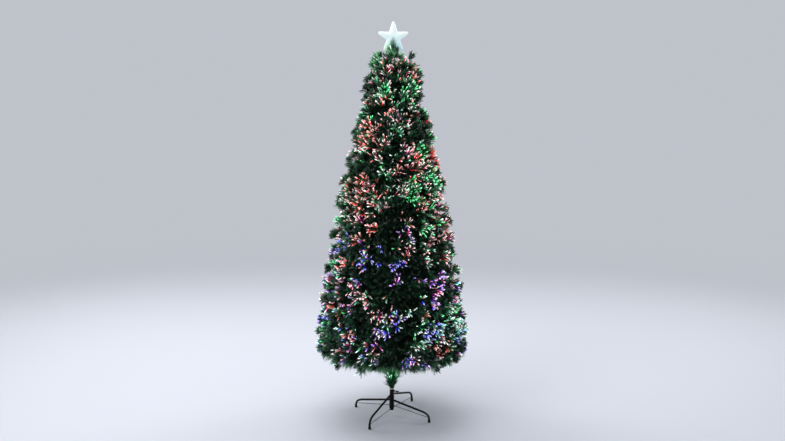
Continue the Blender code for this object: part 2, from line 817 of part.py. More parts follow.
def add_tuft(surface):
    rise = math.radians(tuft_rise)
    collars = []
    for collar_share, height_share, reach_share, lobe_share, length_share in tuft_ring_shares:
        height = tuft_bottom + tuft_height * height_share
        reach, lobe, length = (tuft_height * share for share in (reach_share, lobe_share, length_share))
        turns = [2 * math.pi * side / tuft_sides for side in range(tuft_sides)]
        tips = [tip_at(turn, reach, height, rise, lobe, length) for turn in turns]
        collars.append((tuft_bottom + tuft_height * collar_share, tuft_height * tuft_collar_half_share, tips))
    bore = pole_radius / math.cos(math.pi / tuft_sides) + fit_gap
    top = tuft_bottom + tuft_height
    sleeve_with_tips("trunk_tuft", bore, tuft_wall, tuft_sides, tuft_bottom, top, collars, surface)


def add_spray(surface):
    """Spray of brush tips round the top of the pole, below the star."""
    lobe = lobe_radius_at(spray_lower_tip_height, spray_sides)
    lower_rise = tip_rise(spray_lower_tip_height)
    lower_radius = outline_radius(spray_lower_tip_height) - lobe * math.sin(lower_rise) / 2
    upper_rise = math.radians(spray_upper_tip_rise)
    upper_sizes = (spray_upper_tip_radius, spray_upper_tip_height, upper_rise, spray_upper_lobe_radius)
    lower_tips, upper_tips = [], []
    for side in range(spray_sides):
        turn = 2 * math.pi * side / spray_sides
        lower_tips.append(tip_at(turn, lower_radius, spray_lower_tip_height, lower_rise, lobe, tip_length))
        clear_of_star = abs(math.sin(turn)) > math.sin(math.radians(spray_star_clear_angle))
        upper_tips.append(tip_at(turn, *upper_sizes, tip_length) if clear_of_star else None)
    low = spray_lower_tip_height - spray_collar_drop
    high = low + spray_collar_pitch
    collars = [(low, spray_collar_half_height, lower_tips), (high, spray_collar_half_height, upper_tips)]
    bore = pole_radius / math.cos(math.pi / spray_sides) + fit_gap
    ends = (low - spray_margin, high + spray_margin)
    sleeve_with_tips("leader_spray", bore, spray_collar_wall, spray_sides, *ends, collars, surface)


# Star

def star_outline(share):
    """Star of straight edges with rounded tips, as (x, z) points about its centre."""
    points = []
    waist = star_radius * star_waist_share
    half_step = math.pi / star_points
    edge = Vector((waist * math.cos(half_step) - star_radius, waist * math.sin(half_step)))
    half_tip = math.atan2(edge.y, -edge.x)
    spread = math.pi / 2 - half_tip
    for number in range(star_points):
        aim = math.pi / 2 + 2 * half_step * number
        middle = star_radius - star_tip_round
        for step in range(star_tip_steps + 1):
            swing = aim + spread * (2 * step / star_tip_steps - 1)
            x = middle * math.cos(aim) + star_tip_round * math.cos(swing)
            z = middle * math.sin(aim) + star_tip_round * math.sin(swing)
            points.append((share * x, share * z))
        aim += half_step
        points.append((share * waist * math.cos(aim), share * waist * math.sin(aim)))
    return points


def star_shell(name, side, surface):
    """One half of the star: a domed shell, open at the parting plane."""
    bm = bmesh.new()
    parting = fit_gap / 2

    def loop(share, depth):
        return [bm.verts.new((x, side * depth, z)) for x, z in star_outline(share)]

    def band(one, two):
        for step in range(len(one)):
            following = (step + 1) % len(one)
            bm.faces.new((one[step], one[following], two[following], two[step]))

    def dome(rim_share, thickness):
        rings = [loop(rim_share, parting)]
        for ridge_share, depth_share in zip(star_ridge_shares, star_ridge_depth_shares):
            rings.append(loop(rim_share * ridge_share, (star_depth - thickness) * depth_share))
        crown = bm.verts.new((0, side * (star_depth - thickness), 0))
        for one, two in zip(rings, rings[1:]):
            band(one, two)
        last = rings[-1]
        for step in range(len(last)):
            bm.faces.new((last[step], last[(step + 1) % len(last)], crown))
        return rings[0]

    band(dome(1.0, 0), dome(star_inner_share, star_wall))
    shell = place(name, finished_mesh(bm, name, star_smooth_limit), surface, (0, 0, star_centre_height))
    neck = rod_outline(
        socket_neck_radius + fit_gap, socket_top() - cut_overrun, socket_top() + socket_neck_length + fit_gap
    )
    boolean(shell, tool(f"{name}_neck_hole", turned("neck_hole", neck, socket_sides)), "DIFFERENCE")


def add_star(shell_surface, socket_surface):
    star_shell("star_front_shell", -1, shell_surface)
    star_shell("star_rear_shell", 1, shell_surface)
    top = socket_top()
    bottom = top - socket_length
    bore_top = bottom + pole_tip_length + fit_gap
    neck_top = top + socket_neck_length
    outline = (
        (socket_bore_radius, bottom), (socket_radius, bottom), (socket_radius, top),
        (socket_neck_radius, top), (socket_neck_radius, neck_top), (0, neck_top),
    )
    profile = ((0, bore_top + fit_gap), (socket_bore_radius, bore_top + fit_gap)) + outline
    place("star_socket", turned("star_socket", profile, socket_sides), socket_surface)


# Small pieces on the lower pole

def add_tie(surface):
    inner = pole_radius + fit_gap
    outline = ring_outline(inner, inner + tie_wall, tie_bottom, tie_bottom + tie_height)
    place("trunk_tie", turned("trunk_tie", outline, stand_sides), surface)


def add_gland(surface):
    back = pole_radius + fit_gap
    face = back + gland_flange_thickness
    inside = back - gland_neck_length
    outline = (
        (gland_bore_radius, inside), (gland_neck_radius, inside), (gland_neck_radius, back),
        (gland_flange_radius, back), (gland_flange_radius, face), (gland_bore_radius, face),
    )
    gland = place("lead_gland", turned("lead_gland", outline, gland_sides), surface, (0, 0, gland_height()))
    gland.rotation_euler.x = -math.pi / 2


clear_scene()
black_steel = material("black steel", (0.012, 0.012, 0.013), 0.35, 0.6)
foot_rubber = material("foot rubber", (0.015, 0.015, 0.015), 0.75)
pole_steel = material("green pole", (0.010, 0.045, 0.018), 0.45, 0.3)
hub_plastic = material("hub plastic", (0.008, 0.040, 0.016), 0.5)
needle_green = material("needles", (0.015, 0.110, 0.035), 0.6)
tie_plastic = material("tie", (0.48, 0.44, 0.28), 0.6)
star_plastic = material("frosted star", (0.86, 0.93, 0.96), 0.4, glow=0.6)
socket_plastic = material("star socket", (0.70, 0.74, 0.76), 0.5)
gland_rubber = material("gland rubber", (0.012, 0.030, 0.015), 0.7)

add_stand(black_steel, foot_rubber)
add_poles(pole_steel)
add_tie(tie_plastic)
add_gland(gland_rubber)
add_tuft(needle_green)
add_hubs(hub_plastic)
add_branches(needle_green)
add_spray(needle_green)
add_star(star_plastic, socket_plastic)
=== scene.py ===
"""Looks of a slim fibre optic Christmas tree, 1.8 m tall, on a folding four-legged stand.

Metres, +Z up. The origin is on the floor, on the axis of the pole. -Y is the front.
"""

import math
from collections import namedtuple

import bpy
import numpy as np
from mathutils import Matrix, Vector


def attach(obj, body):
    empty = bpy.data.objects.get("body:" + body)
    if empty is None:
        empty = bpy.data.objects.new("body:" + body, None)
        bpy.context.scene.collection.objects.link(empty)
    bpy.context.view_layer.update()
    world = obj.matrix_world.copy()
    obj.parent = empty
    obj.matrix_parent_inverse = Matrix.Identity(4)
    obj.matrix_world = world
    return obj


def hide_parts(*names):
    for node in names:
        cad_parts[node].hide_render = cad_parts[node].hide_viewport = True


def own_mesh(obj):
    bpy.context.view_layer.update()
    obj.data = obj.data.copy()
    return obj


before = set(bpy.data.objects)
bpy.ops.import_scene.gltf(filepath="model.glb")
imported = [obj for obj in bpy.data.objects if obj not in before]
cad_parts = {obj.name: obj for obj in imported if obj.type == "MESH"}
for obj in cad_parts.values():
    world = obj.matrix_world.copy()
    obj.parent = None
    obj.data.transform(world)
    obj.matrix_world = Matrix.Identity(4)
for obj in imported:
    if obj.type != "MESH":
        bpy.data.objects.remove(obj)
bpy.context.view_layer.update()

random = np.random.default_rng(1207)

# Foliage layout, the same as the solids'
foliage_bottom = 0.298
foliage_top = 1.700
foliage_widest_radius = 0.343
outline_shares = np.array((
    (0.0, 0.980), (0.062, 1.0), (0.222, 0.907), (0.402, 0.785), (0.480, 0.700), (0.558, 0.668),
    (0.655, 0.550), (0.760, 0.460), (0.829, 0.385), (0.879, 0.350), (0.936, 0.292), (0.960, 0.265),
    (1.0, 0.150),
))
tier_pitch = 0.2205
row_pitch = tier_pitch / 3
tip_length = 0.058
tip_stub_length = 0.020
branch_counts = (6, 6, 5, 5, 4, 3)
branch_turns = (30.0, 0.0, 18.0, 54.0, 22.0, 90.0)
stem_rises = (3.0, 7.0, 12.0, 18.0, 25.0, 32.0)
stem_collar_shares = (0.45, 0.68, 0.90)
stem_radii = (0.0027, 0.0023)
twig_radii = (0.0019, 0.0013)

# Hinge eye, the same as the solids'
eye_hole_radius = 0.00195
eye_radius = 0.00435
eye_half_thickness = 0.0020
heel_end = 0.011
heel_radii = (0.0029, 0.0028)
pin_place_radius = 0.02015

side_down, side_plus, side_up, side_minus = range(4)
row_lower, row_middle, row_upper = range(3)

# Twigs of a branch: the collar and side each grows from, then its row and its column
twig_plan = (
    (0, side_minus, row_upper, 0), (1, side_minus, row_lower, 0), (2, side_minus, row_middle, 0),
    (0, side_plus, row_lower, 3), (1, side_plus, row_upper, 3), (2, side_plus, row_middle, 2),
    (0, side_up, row_upper, 1), (1, side_up, row_upper, 2),
    (0, side_down, row_lower, 2), (1, side_down, row_lower, 1),
)
end_twig = (row_middle, 1)

# Brushes at the ends of the twigs: rays of needles and fibres round a wire
brush_pitch = 0.033
brush_radius = 0.0225
brush_length = 0.044
brush_wire_radii = (0.0011, 0.0009)
brush_rays = 9
ray_turn_jitter = 0.4
ray_reach_span = (0.70, 1.40)
ray_tint_base, ray_tint_rise, ray_tint_power = 0.08, 0.92, 1.9
front_bow = 0.006
ray_needles = 10
needle_width = 0.0018
needle_spread = 0.15
needle_share_power = 0.75
needle_start_share = 0.72
needle_end_jitter = 0.0024
ray_fibres = 3
fibre_width = 0.0030
fibre_spread = 0.06
fibre_share_span = (0.50, 1.22)
fibre_share_jitter = 0.13
fibre_share_least = 0.3
fibre_start_span = (0.10, 0.55)
fibre_stand_out = (0.002, 0.012)
clump_needles = 9

# Strands: how flat they are, and on their map their half-width, tints, and places of wide ends and points
strand_flatness = 0.7
strand_map_half_width = 0.012
strand_map_step = 0.03
tint_limits = (0.03, 0.97)
widening = (0.97, 0.03)
tapering = (0.05, 0.95)

# Where the brushes of a twig stand: the levels of their rows, as shares of its height, and their depths.
# A forward brush stands between furthest_forward in front of the outline and forward_back behind it.
low_level_shares = (-0.21, 0.21)
high_level_shares = (-0.36, 0.0, 0.36)
leader_level_shares = (-0.30, 0.30)
inner_level_shares = (0.50, 0.05)
side_gathering = 0.38
side_cosine = 0.88
brush_across_jitter = 0.006
brush_level_jitter = 0.005
brush_way_jitter = 0.13
brush_fan = 0.6
forward_share = 0.36
forward_heights = (0.45, 0.80)
furthest_forward = (0.009, 0.018)
forward_back = 0.004
set_back_heights = (0.80, 1.10)
set_back_least = 0.012
set_back_depths = (0.038, 0.046)
hollow_depth = 0.024
unlit_hollow = 0.35

# Needles along the rods are thicker in the lower tiers, and rows of twigs stand a little high or low
low_tier_thickness = {0: 2.8, 1: 1.8, 2: 1.5, 3: 1.3}
row_lift_jitter = 0.0075
lowest_row_lift = 0.012

# Top of the tree: painted light that makes the needles paler, and shoulders that stand lower on the left and
# on the right
crown_heights = (1.56, 1.65)
crown_painted_light = 1.75
shoulder_drops = (0.010, 0.024)
spray_sides = 10
spray_base_radius = 0.012
spray_lower_height = foliage_top - 0.055
spray_upper_height = foliage_top - 0.010
spray_lower_base = spray_lower_height - 0.085
spray_upper_base = spray_lower_height - 0.045
star_needles = 240
star_needle_rise = 0.046

# Share of the rays and brushes that are lit, at the foot of the foliage and at its top
lit_ray_shares = (0.66, 0.38)
stray_ray_shares = (0.28, 0.14)
stray_brush_shares = (0.26, 0.32)
stray_strength = 0.85
cool_stray_height = 0.72
unlit = ("stray", 0.0, 0.0)

# Needles along a rod: how many a metre, their length, tints, and lean from the rod in degrees
# The needles deep inside the tree, along stems, twigs and behind the tips, get low tints: painted shade.
garlands = {
    "stem": (3600, 0.046, (0.03, 0.38), (48.0, 76.0)),
    "stem_root": (5000, 0.058, (0.03, 0.30), (70.0, 105.0)),
    "twig": (2400, 0.050, (0.05, 0.38), (48.0, 76.0)),
    "tip": (4200, 0.052, (0.03, 0.36), (42.0, 84.0)),
    "spray_twig": (2400, 0.034, (0.05, 0.50), (48.0, 76.0)),
    "spray_top": (5200, 0.040, (0.25, 0.85), (4.0, 30.0)),
    "spray_collar": (2200, 0.042, (0.15, 0.75), (12.0, 48.0)),
}

# Tuft round the foot of the pole
tuft_bottom = 0.1336
tuft_height = 0.165
tuft_clumps = 190
tuft_fibre_groups = 30

# A rod that stands upright leans by a hair, because the axes across a truly upright one aren't defined
upright_lean = 0.00001

# Colours of light that reach the fibres' ends: their outer stretch, then their cut ends
light_colours = {
    "red": ((0.88, 0.02, 0.026), (1.0, 0.36, 0.33)),
    "salmon": ((0.85, 0.12, 0.105), (1.0, 0.76, 0.71)),
    "rose": ((0.76, 0.09, 0.19), (1.0, 0.78, 0.82)),
    "white": ((0.46, 0.5, 0.42), (1.0, 1.0, 0.96)),
    "mint": ((0.02, 0.5, 0.23), (0.74, 1.0, 0.87)),
    "green": ((0.01, 0.43, 0.09), (0.19, 0.88, 0.36)),
    "blue": ((0.02, 0.018, 0.95), (0.44, 0.44, 1.0)),
    "violet": ((0.24, 0.02, 0.85), (0.8, 0.52, 1.0)),
    "magenta": ((0.75, 0.025, 0.46), (1.0, 0.62, 0.9)),
    "cyan": ((0.01, 0.36, 0.48), (0.62, 0.97, 1.0)),
}
light_names = list(light_colours)

# Where each colour of light shows. Each spot has its turn from the front in degrees, its height and reach in
# millimetres, and its strength
lights_on_tree = {
    "red": (
        (48, 1580, 36, 0.8), (67, 1530, 30, 0.9), (-62, 1480, 30, 0.7), (-50, 1320, 62, 1.0),
        (84, 1220, 56, 0.8), (32, 1215, 34, 0.9), (5, 1200, 38, 0.8), (26, 1145, 38, 1.0),
        (-38, 1115, 56, 1.0), (-42, 1005, 48, 0.8), (68, 940, 40, 0.7), (-29, 900, 42, 1.0),
        (-15, 900, 36, 1.0), (-38, 860, 34, 0.9), (61, 800, 36, 0.8), (-60, 760, 32, 0.9),
        (-57, 565, 40, 0.8),
    ),
    "salmon": (
        (-24, 1605, 34, 1.0), (-14, 1430, 56, 1.0), (-22, 1245, 50, 1.0), (43, 1185, 36, 0.8),
        (-58, 1070, 36, 0.6), (-27, 1060, 36, 0.9), (44, 1040, 42, 0.9), (80, 1030, 50, 0.7),
        (-26, 950, 36, 0.9), (15, 810, 28, 0.8), (-10, 530, 26, 0.7), (29, 525, 32, 0.7),
        (-36, 450, 30, 0.8), (40, 420, 42, 1.0), (45, 385, 30, 0.5),
    ),
    "rose": (
        (4, 1625, 40, 0.9), (-48, 1570, 28, 0.5), (54, 1405, 30, 0.8), (12, 1400, 40, 0.6),
        (24, 1260, 34, 0.9), (-84, 1240, 50, 0.8), (56, 995, 34, 0.8), (20, 970, 34, 0.8),
        (-47, 945, 40, 0.7), (46, 870, 44, 0.6), (84, 860, 50, 0.7), (19, 840, 30, 0.9),
        (-64, 695, 42, 0.7), (-39, 650, 32, 0.9), (-22, 600, 28, 0.8), (-6, 560, 26, 0.8),
        (-15, 550, 30, 0.9), (-66, 525, 30, 0.8), (11, 525, 22, 0.8), (-14, 410, 26, 0.8),
        (-53, 370, 36, 0.7), (-84, 350, 40, 0.6),
    ),
    "white": (
        (38, 1430, 32, 0.8), (28, 1365, 42, 0.8), (6, 1085, 44, 0.7), (-76, 1060, 50, 0.6),
        (-12, 1020, 36, 0.6), (32, 785, 34, 0.8), (38, 740, 26, 0.6), (-1, 645, 30, 0.7),
        (-24, 635, 36, 0.7),
    ),
    "mint": (
        (-80, 1400, 44, 0.6), (4, 1340, 40, 0.6), (-11, 1165, 38, 0.9), (80, 720, 50, 0.7),
        (-29, 655, 26, 0.6), (21, 535, 40, 0.9), (59, 525, 50, 0.8), (24, 495, 38, 0.9),
        (21, 445, 40, 0.9), (80, 420, 50, 0.7),
    ),
    "green": (
        (-52, 1635, 34, 0.4), (42, 1510, 52, 1.0), (-21, 1495, 50, 1.0), (16, 1470, 40, 0.9),
        (82, 1440, 44, 0.7), (56, 1260, 50, 0.9), (57, 1130, 50, 1.0), (24, 1070, 52, 1.0),
        (62, 1050, 44, 0.7), (48, 930, 60, 1.0), (-82, 920, 56, 0.7), (32, 910, 40, 0.9),
        (63, 740, 34, 0.8), (-72, 410, 30, 0.5),
    ),
    "blue": (
        (-56, 845, 46, 1.0), (-18, 810, 44, 1.0), (-30, 810, 38, 1.0), (5, 800, 22, 0.8),
        (6, 745, 42, 1.0), (6, 515, 40, 1.0), (30, 475, 44, 0.8), (-6, 475, 30, 0.9), (6, 450, 28, 0.9),
        (-86, 450, 34, 0.7), (62, 395, 34, 0.6), (15, 355, 30, 0.9),
    ),
    "violet": (
        (-82, 780, 56, 0.7), (-31, 720, 34, 0.9), (53, 700, 34, 0.8), (43, 680, 44, 1.0),
        (41, 605, 42, 1.0), (-42, 560, 28, 0.8), (18, 470, 26, 0.8), (-13, 440, 30, 0.9),
        (-37, 420, 26, 0.7), (20, 345, 22, 0.8),
    ),
    "magenta": (
        (16, 890, 34, 0.9), (2, 680, 28, 0.9), (-55, 670, 30, 0.8), (7, 655, 36, 0.9), (42, 645, 42, 1.0),
        (-45, 605, 36, 0.7), (82, 580, 56, 0.8), (-10, 500, 28, 0.8), (24, 395, 26, 0.8),
        (19, 390, 30, 1.0),
    ),
    "cyan": (
        (-53, 890, 28, 0.8), (-82, 620, 50, 0.7), (14, 565, 30, 0.8), (38, 500, 42, 0.9),
        (62, 455, 44, 0.7), (-28, 370, 28, 0.8),
    ),
}

# Where the foliage falls back into a hollow, darkened with painted shade: spots without a strength
hollows_on_tree = (
    (6, 1510, 32), (-42, 1420, 38), (54, 1330, 44), (-14, 1330, 34), (4, 1270, 32), (-29, 1175, 44),
    (17, 1170, 34), (-12, 1100, 34), (38, 1100, 30), (-6, 955, 56), (24, 935, 30), (-5, 890, 50),
    (-8, 775, 30), (-21, 745, 34), (-35, 740, 34), (25, 735, 30), (19, 730, 40), (-11, 705, 50),
    (10, 620, 56), (22, 615, 32), (-4, 595, 30), (-25, 540, 56), (12, 470, 40), (-24, 465, 36),
    (1, 395, 50),
)

# The back has the front's lights and hollows, mirrored and this much lower
back_height_shift = 0.17

# Colours that the fibres of each light show
light_mixes = {
    "red": ("red", "red", "red", "salmon", "rose"),
    "salmon": ("salmon", "salmon", "rose", "white", "red"),
    "rose": ("rose", "rose", "salmon", "white", "magenta"),
    "white": ("white", "white", "salmon", "mint", "rose"),
    "mint": ("mint", "mint", "green", "white"),
    "green": ("green", "green", "green", "green", "mint", "white"),
    "blue": ("blue", "blue", "blue", "blue", "violet", "white"),
    "violet": ("violet", "violet", "blue", "magenta", "rose"),
    "magenta": ("magenta", "magenta", "rose", "violet", "white"),
    "cyan": ("cyan", "cyan", "mint", "blue", "white"),
    "stray": ("salmon", "white", "rose", "mint", "green", "red"),
    "cool_stray": ("mint", "cyan", "blue", "violet", "rose", "green"),
}


# Layout

def around(radius, turn, height):
    return np.array((radius * math.cos(turn), radius * math.sin(turn), height))


def unit(vector):
    return vector / np.linalg.norm(vector)


def outline_radius(height):
    share = (height - foliage_bottom) / (foliage_top - foliage_bottom)
    return foliage_widest_radius * float(np.interp(share, outline_shares[:, 0], outline_shares[:, 1]))


def tip_rise(height):
    share = min(max((height - foliage_bottom) / (foliage_top - foliage_bottom), 0.0), 1.0)
    return math.radians(-8.0 + 63.0 * share ** 1.3)


def tip_frame(turn, height, tips_around):
    """Middle and direction of a branch tip, which stands a little inside the outline."""
    radius = outline_radius(height)
    lobe = 0.54 * min(row_pitch, 2 * math.pi * radius / tips_around)
    rise = tip_rise(height)
    radius -= lobe * math.sin(max(rise, 0.0)) / 2
    return around(radius, turn, height), around(math.cos(rise), turn, math.sin(rise))


def row_height(tier, row):
    return foliage_bottom + tier_pitch * tier + row_pitch * (row + 0.5)


def pin_height(tier):
    height = row_height(tier, row_middle)
    centre, direction = tip_frame(0.0, height, branch_counts[tier] * 4)
    end = centre - direction * (tip_length + tip_stub_length)
    return end[2] - (end[0] - pin_place_radius) * math.tan(math.radians(stem_rises[tier]))


def across_axes(axis):
    """Two unit vectors across an axis, the first one as near to upward as it can be."""
    sideways = unit(np.cross(axis, (0.0, 0.0, 1.0)))
    return unit(np.cross(sideways, axis)), sideways


def front_place(point):
    """Turn and height on the front whose lights and hollows a place of the tree has."""
    turn = (math.degrees(math.atan2(point[1], point[0])) + 270.0) % 360.0 - 180.0
    height = point[2]
    if abs(turn) > 90.0:
        turn = math.copysign(180.0 - abs(turn), turn)
        span = foliage_top - foliage_bottom
        height = foliage_bottom + (height - foliage_bottom + back_height_shift) % span
    return turn, height


def nearness(place, spot_turn, spot_height, reach):
    """1 at the middle of a spot on the outline, 0 from its reach outward."""
    turn, height = place
    aside = math.radians(turn - spot_turn) * outline_radius(height)
    away = math.hypot(aside, height - spot_height / 1000) / (reach / 1000)
    return max(1.0 - away ** 2, 0.0)


def light_at(point):
    """Name and strength of the light that reaches a brush, and the share of its rays that it lights."""
    place = front_place(point)
    heights = (foliage_bottom, foliage_top)
    nearest, found = 0.0, None
    for name, spots in lights_on_tree.items():
        for *spot, strength in spots:
            near = nearness(place, *spot)
            if near > nearest:
                nearest, found = near, (name, strength * (0.6 + 0.4 * near))
    if found and random.random() < 0.65 + 0.35 * nearest:
        return (*found, np.interp(place[1], heights, lit_ray_shares))
    lit = random.random() < np.interp(place[1], heights, stray_brush_shares)
    name = "stray" if place[1] > cool_stray_height else "cool_stray"
    return name, stray_strength if lit else 0.0, np.interp(place[1], heights, stray_ray_shares)


def hollow_at(point):
    place = front_place(point)
    return max(nearness(place, *spot) for spot in hollows_on_tree)


# Closed shapes gathered into one mesh

class Shapes:
    """Closed shapes as arrays of corners, triangles, map places and material slots."""

    def __init__(self):
        self.corners, self.faces, self.places, self.slots = [], [], [], []
        self.count = 0

    def add(self, corners, faces, places, slot):
        self.corners.append(corners)
        self.faces.append(faces + self.count)
        self.places.append(places)
        self.slots.append(np.full(len(faces), slot, np.int32))
        self.count += len(corners)

    def strands(self, wide_ends, points, widths, tints, slot, wide_along, point_along):
        """Three-sided strands, each from a point to a wide end.

        Their map has the tint across it and 0 to 1 along a strand.
        """
        count = len(points)
        axes = wide_ends - points
        axes /= np.linalg.norm(axes, axis=1)[:, None]
        helper = random.normal(size=(count, 3))
        flat = np.cross(axes, helper)
        flat /= np.linalg.norm(flat, axis=1)[:, None]
        thick = np.cross(axes, flat)
        half = widths[:, None] / 2
        corners = np.empty((count, 4, 3))
        corners[:, 0] = points
        corners[:, 1] = wide_ends + flat * half
        corners[:, 2] = wide_ends - flat * half
        corners[:, 3] = wide_ends + thick * half * strand_flatness
        places = np.empty((count, 4, 2))
        places[:, :, 0] = tints[:, None] + strand_map_half_width * np.array((0.0, -1.0, 1.0, 0.0))
        places[:, :, 1] = np.array((point_along, wide_along, wide_along, wide_along))
        places[:, 3, 1] += strand_map_step * (1 if wide_along < point_along else -1)
        start = np.arange(count)[:, None, None] * 4
        one_strand = np.array(((0, 1, 2), (0, 2, 3), (0, 3, 1), (1, 3, 2)))
        faces = (one_strand[None] + start).reshape(-1, 3)
        self.add(corners.reshape(-1, 3), faces, places.reshape(-1, 2), slot)

    def rod(self, points, radii, sides, slot):
        """Round rod along the points, closed by its two ends."""
        points = np.asarray(points, float)
        rings = []
        for number, point in enumerate(points):
            before = points[max(number - 1, 0)]
            after = points[min(number + 1, len(points) - 1)]
            up, sideways = across_axes(unit(after - before))
            turns = 2 * math.pi * np.arange(sides) / sides
            spokes = np.cos(turns)[:, None] * up + np.sin(turns)[:, None] * sideways
            rings.append(point + radii[number] * spokes)
        corners = np.vstack(rings + [points[:1], points[-1:]])
        faces = []
        for ring in range(len(points) - 1):
            for side in range(sides):
                one, two = ring * sides + side, ring * sides + (side + 1) % sides
                faces += [(one, two, two + sides), (one, two + sides, one + sides)]
        low_centre, high_centre = len(points) * sides, len(points) * sides + 1
        last = (len(points) - 1) * sides
        for side in range(sides):
            following = (side + 1) % sides
            faces += [(following, side, low_centre), (last + side, last + following, high_centre)]
        along = np.repeat(np.linspace(0.1, 0.9, len(points)), sides)
        around_rod = np.tile(np.arange(sides) / sides * 0.02 + 0.005, len(points))
        places = np.column_stack((np.append(around_rod, (0.015, 0.015)), np.append(along, (0.1, 0.9))))
        self.add(corners, np.array(faces), places, slot)

    def eye(self, pin, along, sideways, normal, slot, sides=16):
        """Flat ring round the hinge pin, with its heel."""
        turns = 2 * math.pi * np.arange(sides) / sides
        spokes = np.cos(turns)[:, None] * along + np.sin(turns)[:, None] * normal
        loops = []
        for radius, side in ((eye_radius, -1), (eye_radius, 1), (eye_hole_radius, 1), (eye_hole_radius, -1)):
            loops.append(pin + radius * spokes + side * eye_half_thickness * sideways)
        corners = np.vstack(loops)
        faces = []
        for loop in range(4):
            following_loop = (loop + 1) % 4
            for step in range(sides):
                following = (step + 1) % sides
                one, two = loop * sides + step, loop * sides + following
                three, four = following_loop * sides + following, following_loop * sides + step
                faces += [(one, two, three), (one, three, four)]
        places = np.column_stack((np.full(len(corners), 0.01), np.tile(turns / 7, 4)))
        self.add(corners, np.array(faces), places, slot)
        self.rod((pin + along * eye_radius * 0.93, pin + along * heel_end), heel_radii, 8, slot)

    def piece(self, name, materials, map_columns):
        """One mesh object. Its second map, OFBake, has a column for each slot."""
        corners = np.vstack(self.corners).astype(np.float32)
        faces = np.vstack(self.faces).astype(np.int32)
        places = np.vstack(self.places).astype(np.float32)
        slots = np.concatenate(self.slots)
        mesh = bpy.data.meshes.new(name)
        mesh.vertices.add(len(corners))
        mesh.vertices.foreach_set("co", corners.ravel())
        mesh.loops.add(len(faces) * 3)
        mesh.loops.foreach_set("vertex_index", faces.ravel())
        mesh.polygons.add(len(faces))
        mesh.polygons.foreach_set("loop_start", np.arange(len(faces), dtype=np.int32) * 3)
        mesh.polygons.foreach_set("material_index", slots)
        mesh.update(calc_edges=True)
        at_loops = places[faces.ravel()]
        mesh.uv_layers.new(name="strand").data.foreach_set("uv", at_loops.ravel())
        columned = at_loops.copy()
        columns = np.repeat(map_columns[slots], 3)
        columned[:, 0] = (columns + np.clip(at_loops[:, 0], 0.0, 1.0)) / (map_columns.max() + 1)
        inside = np.clip(columned, 0.002, 0.998)
        mesh.uv_layers.new(name="OFBake").data.foreach_set("uv", inside.ravel())
        mesh.uv_layers.active = mesh.uv_layers["strand"]
        for surface in materials:
            mesh.materials.append(surface)
        made = bpy.data.objects.new(name, mesh)
        bpy.context.scene.collection.objects.link(made)
        return made


# Brushes of needles and fibres

needle_slot, rod_slot = 0, 1

# The end of a twig, and the part of the outline that its brushes cover
Twig = namedtuple("Twig", "neck direction turn height width tallness")


class Brush:
    """Rays of needles and fibres that lean off a wire to a flush-cut front, like a bottle brush."""

    def __init__(self, root, end, radius):
        self.root, self.end = root, end
        self.axis = unit(end - root)
        self.up, self.sideways = across_axes(self.axis)
        self.length = np.linalg.norm(end - root)
        jitter = random.uniform(-ray_turn_jitter, ray_turn_jitter, brush_rays)
        self.turns = 2 * math.pi * (np.arange(brush_rays) + jitter) / brush_rays
        self.turns += 2 * math.pi * random.random()
        self.reaches = radius * random.uniform(*ray_reach_span, brush_rays)

    def add(self, needles, fibres, light, shade):
        self.add_needles(needles, shade)
        self.add_fibres(fibres, light)

    def leaning(self, rays, shares, spread, start_shares):
        """Front of each strand, at a share of its ray's reach, and its start on the wire."""
        turns = self.turns[rays] + random.normal(0.0, spread, len(shares)) / (0.35 + shares)
        across = np.cos(turns)[:, None] * self.up + np.sin(turns)[:, None] * self.sideways
        fronts = self.end + across * (self.reaches[rays] * shares)[:, None]
        fronts = fronts - self.axis * (front_bow * shares ** 2)[:, None]
        return fronts, self.root + self.axis * (self.length * start_shares)[:, None]

    def add_needles(self, needles, shade):
        ray_tints = shade * (ray_tint_base + ray_tint_rise * random.random(brush_rays) ** ray_tint_power)
        rays = np.repeat(np.arange(brush_rays), ray_needles)
        shares = random.random(len(rays)) ** needle_share_power
        start_shares = needle_start_share * (1.0 - shares) * random.uniform(0.6, 1.0, len(rays))
        fronts, starts = self.leaning(rays, shares, needle_spread, start_shares)
        fronts += self.axis * random.normal(0.0, needle_end_jitter, len(rays))[:, None]
        tints = np.clip(ray_tints[rays] * random.uniform(0.75, 1.25, len(rays)), *tint_limits)
        widths = needle_width * random.uniform(0.75, 1.25, len(rays)) * (0.85 + 0.5 * tints)
        needles.strands(fronts, starts, widths, tints, needle_slot, *widening)

    def add_fibres(self, fibres, light):
        """Fibres on the rays that are lit, and dark ones on every third ray of the rest."""
        name, strength, lit_share = light
        for ray in range(brush_rays):
            lit = strength * random.uniform(0.65, 1.0) if random.random() < lit_share else 0.0
            if lit == 0.0 and ray % 3:
                continue
            shares = random.uniform(*fibre_share_span) + random.normal(0.0, fibre_share_jitter, ray_fibres)
            shares = np.maximum(shares, fibre_share_least)
            start_shares = random.uniform(*fibre_start_span, ray_fibres)
            fronts, starts = self.leaning(np.full(ray_fibres, ray), shares, fibre_spread, start_shares)
            fronts += self.axis * random.uniform(*fibre_stand_out, ray_fibres)[:, None]
            colour = light_mixes[name][random.integers(len(light_mixes[name]))]
            tints = np.clip(lit * random.uniform(0.40, 1.0, ray_fibres), *tint_limits)
            widths = np.full(ray_fibres, fibre_width)
            fibres.strands(fronts, starts, widths, tints, light_names.index(colour), *widening)


def set_back(level):
    """How far a brush stands behind the outline. It is below zero for one that stands in front."""
    if random.random() < forward_share:
        return random.uniform(-np.interp(level, forward_heights, furthest_forward), forward_back)
    return random.uniform(set_back_least, np.interp(level, set_back_heights, set_back_depths))


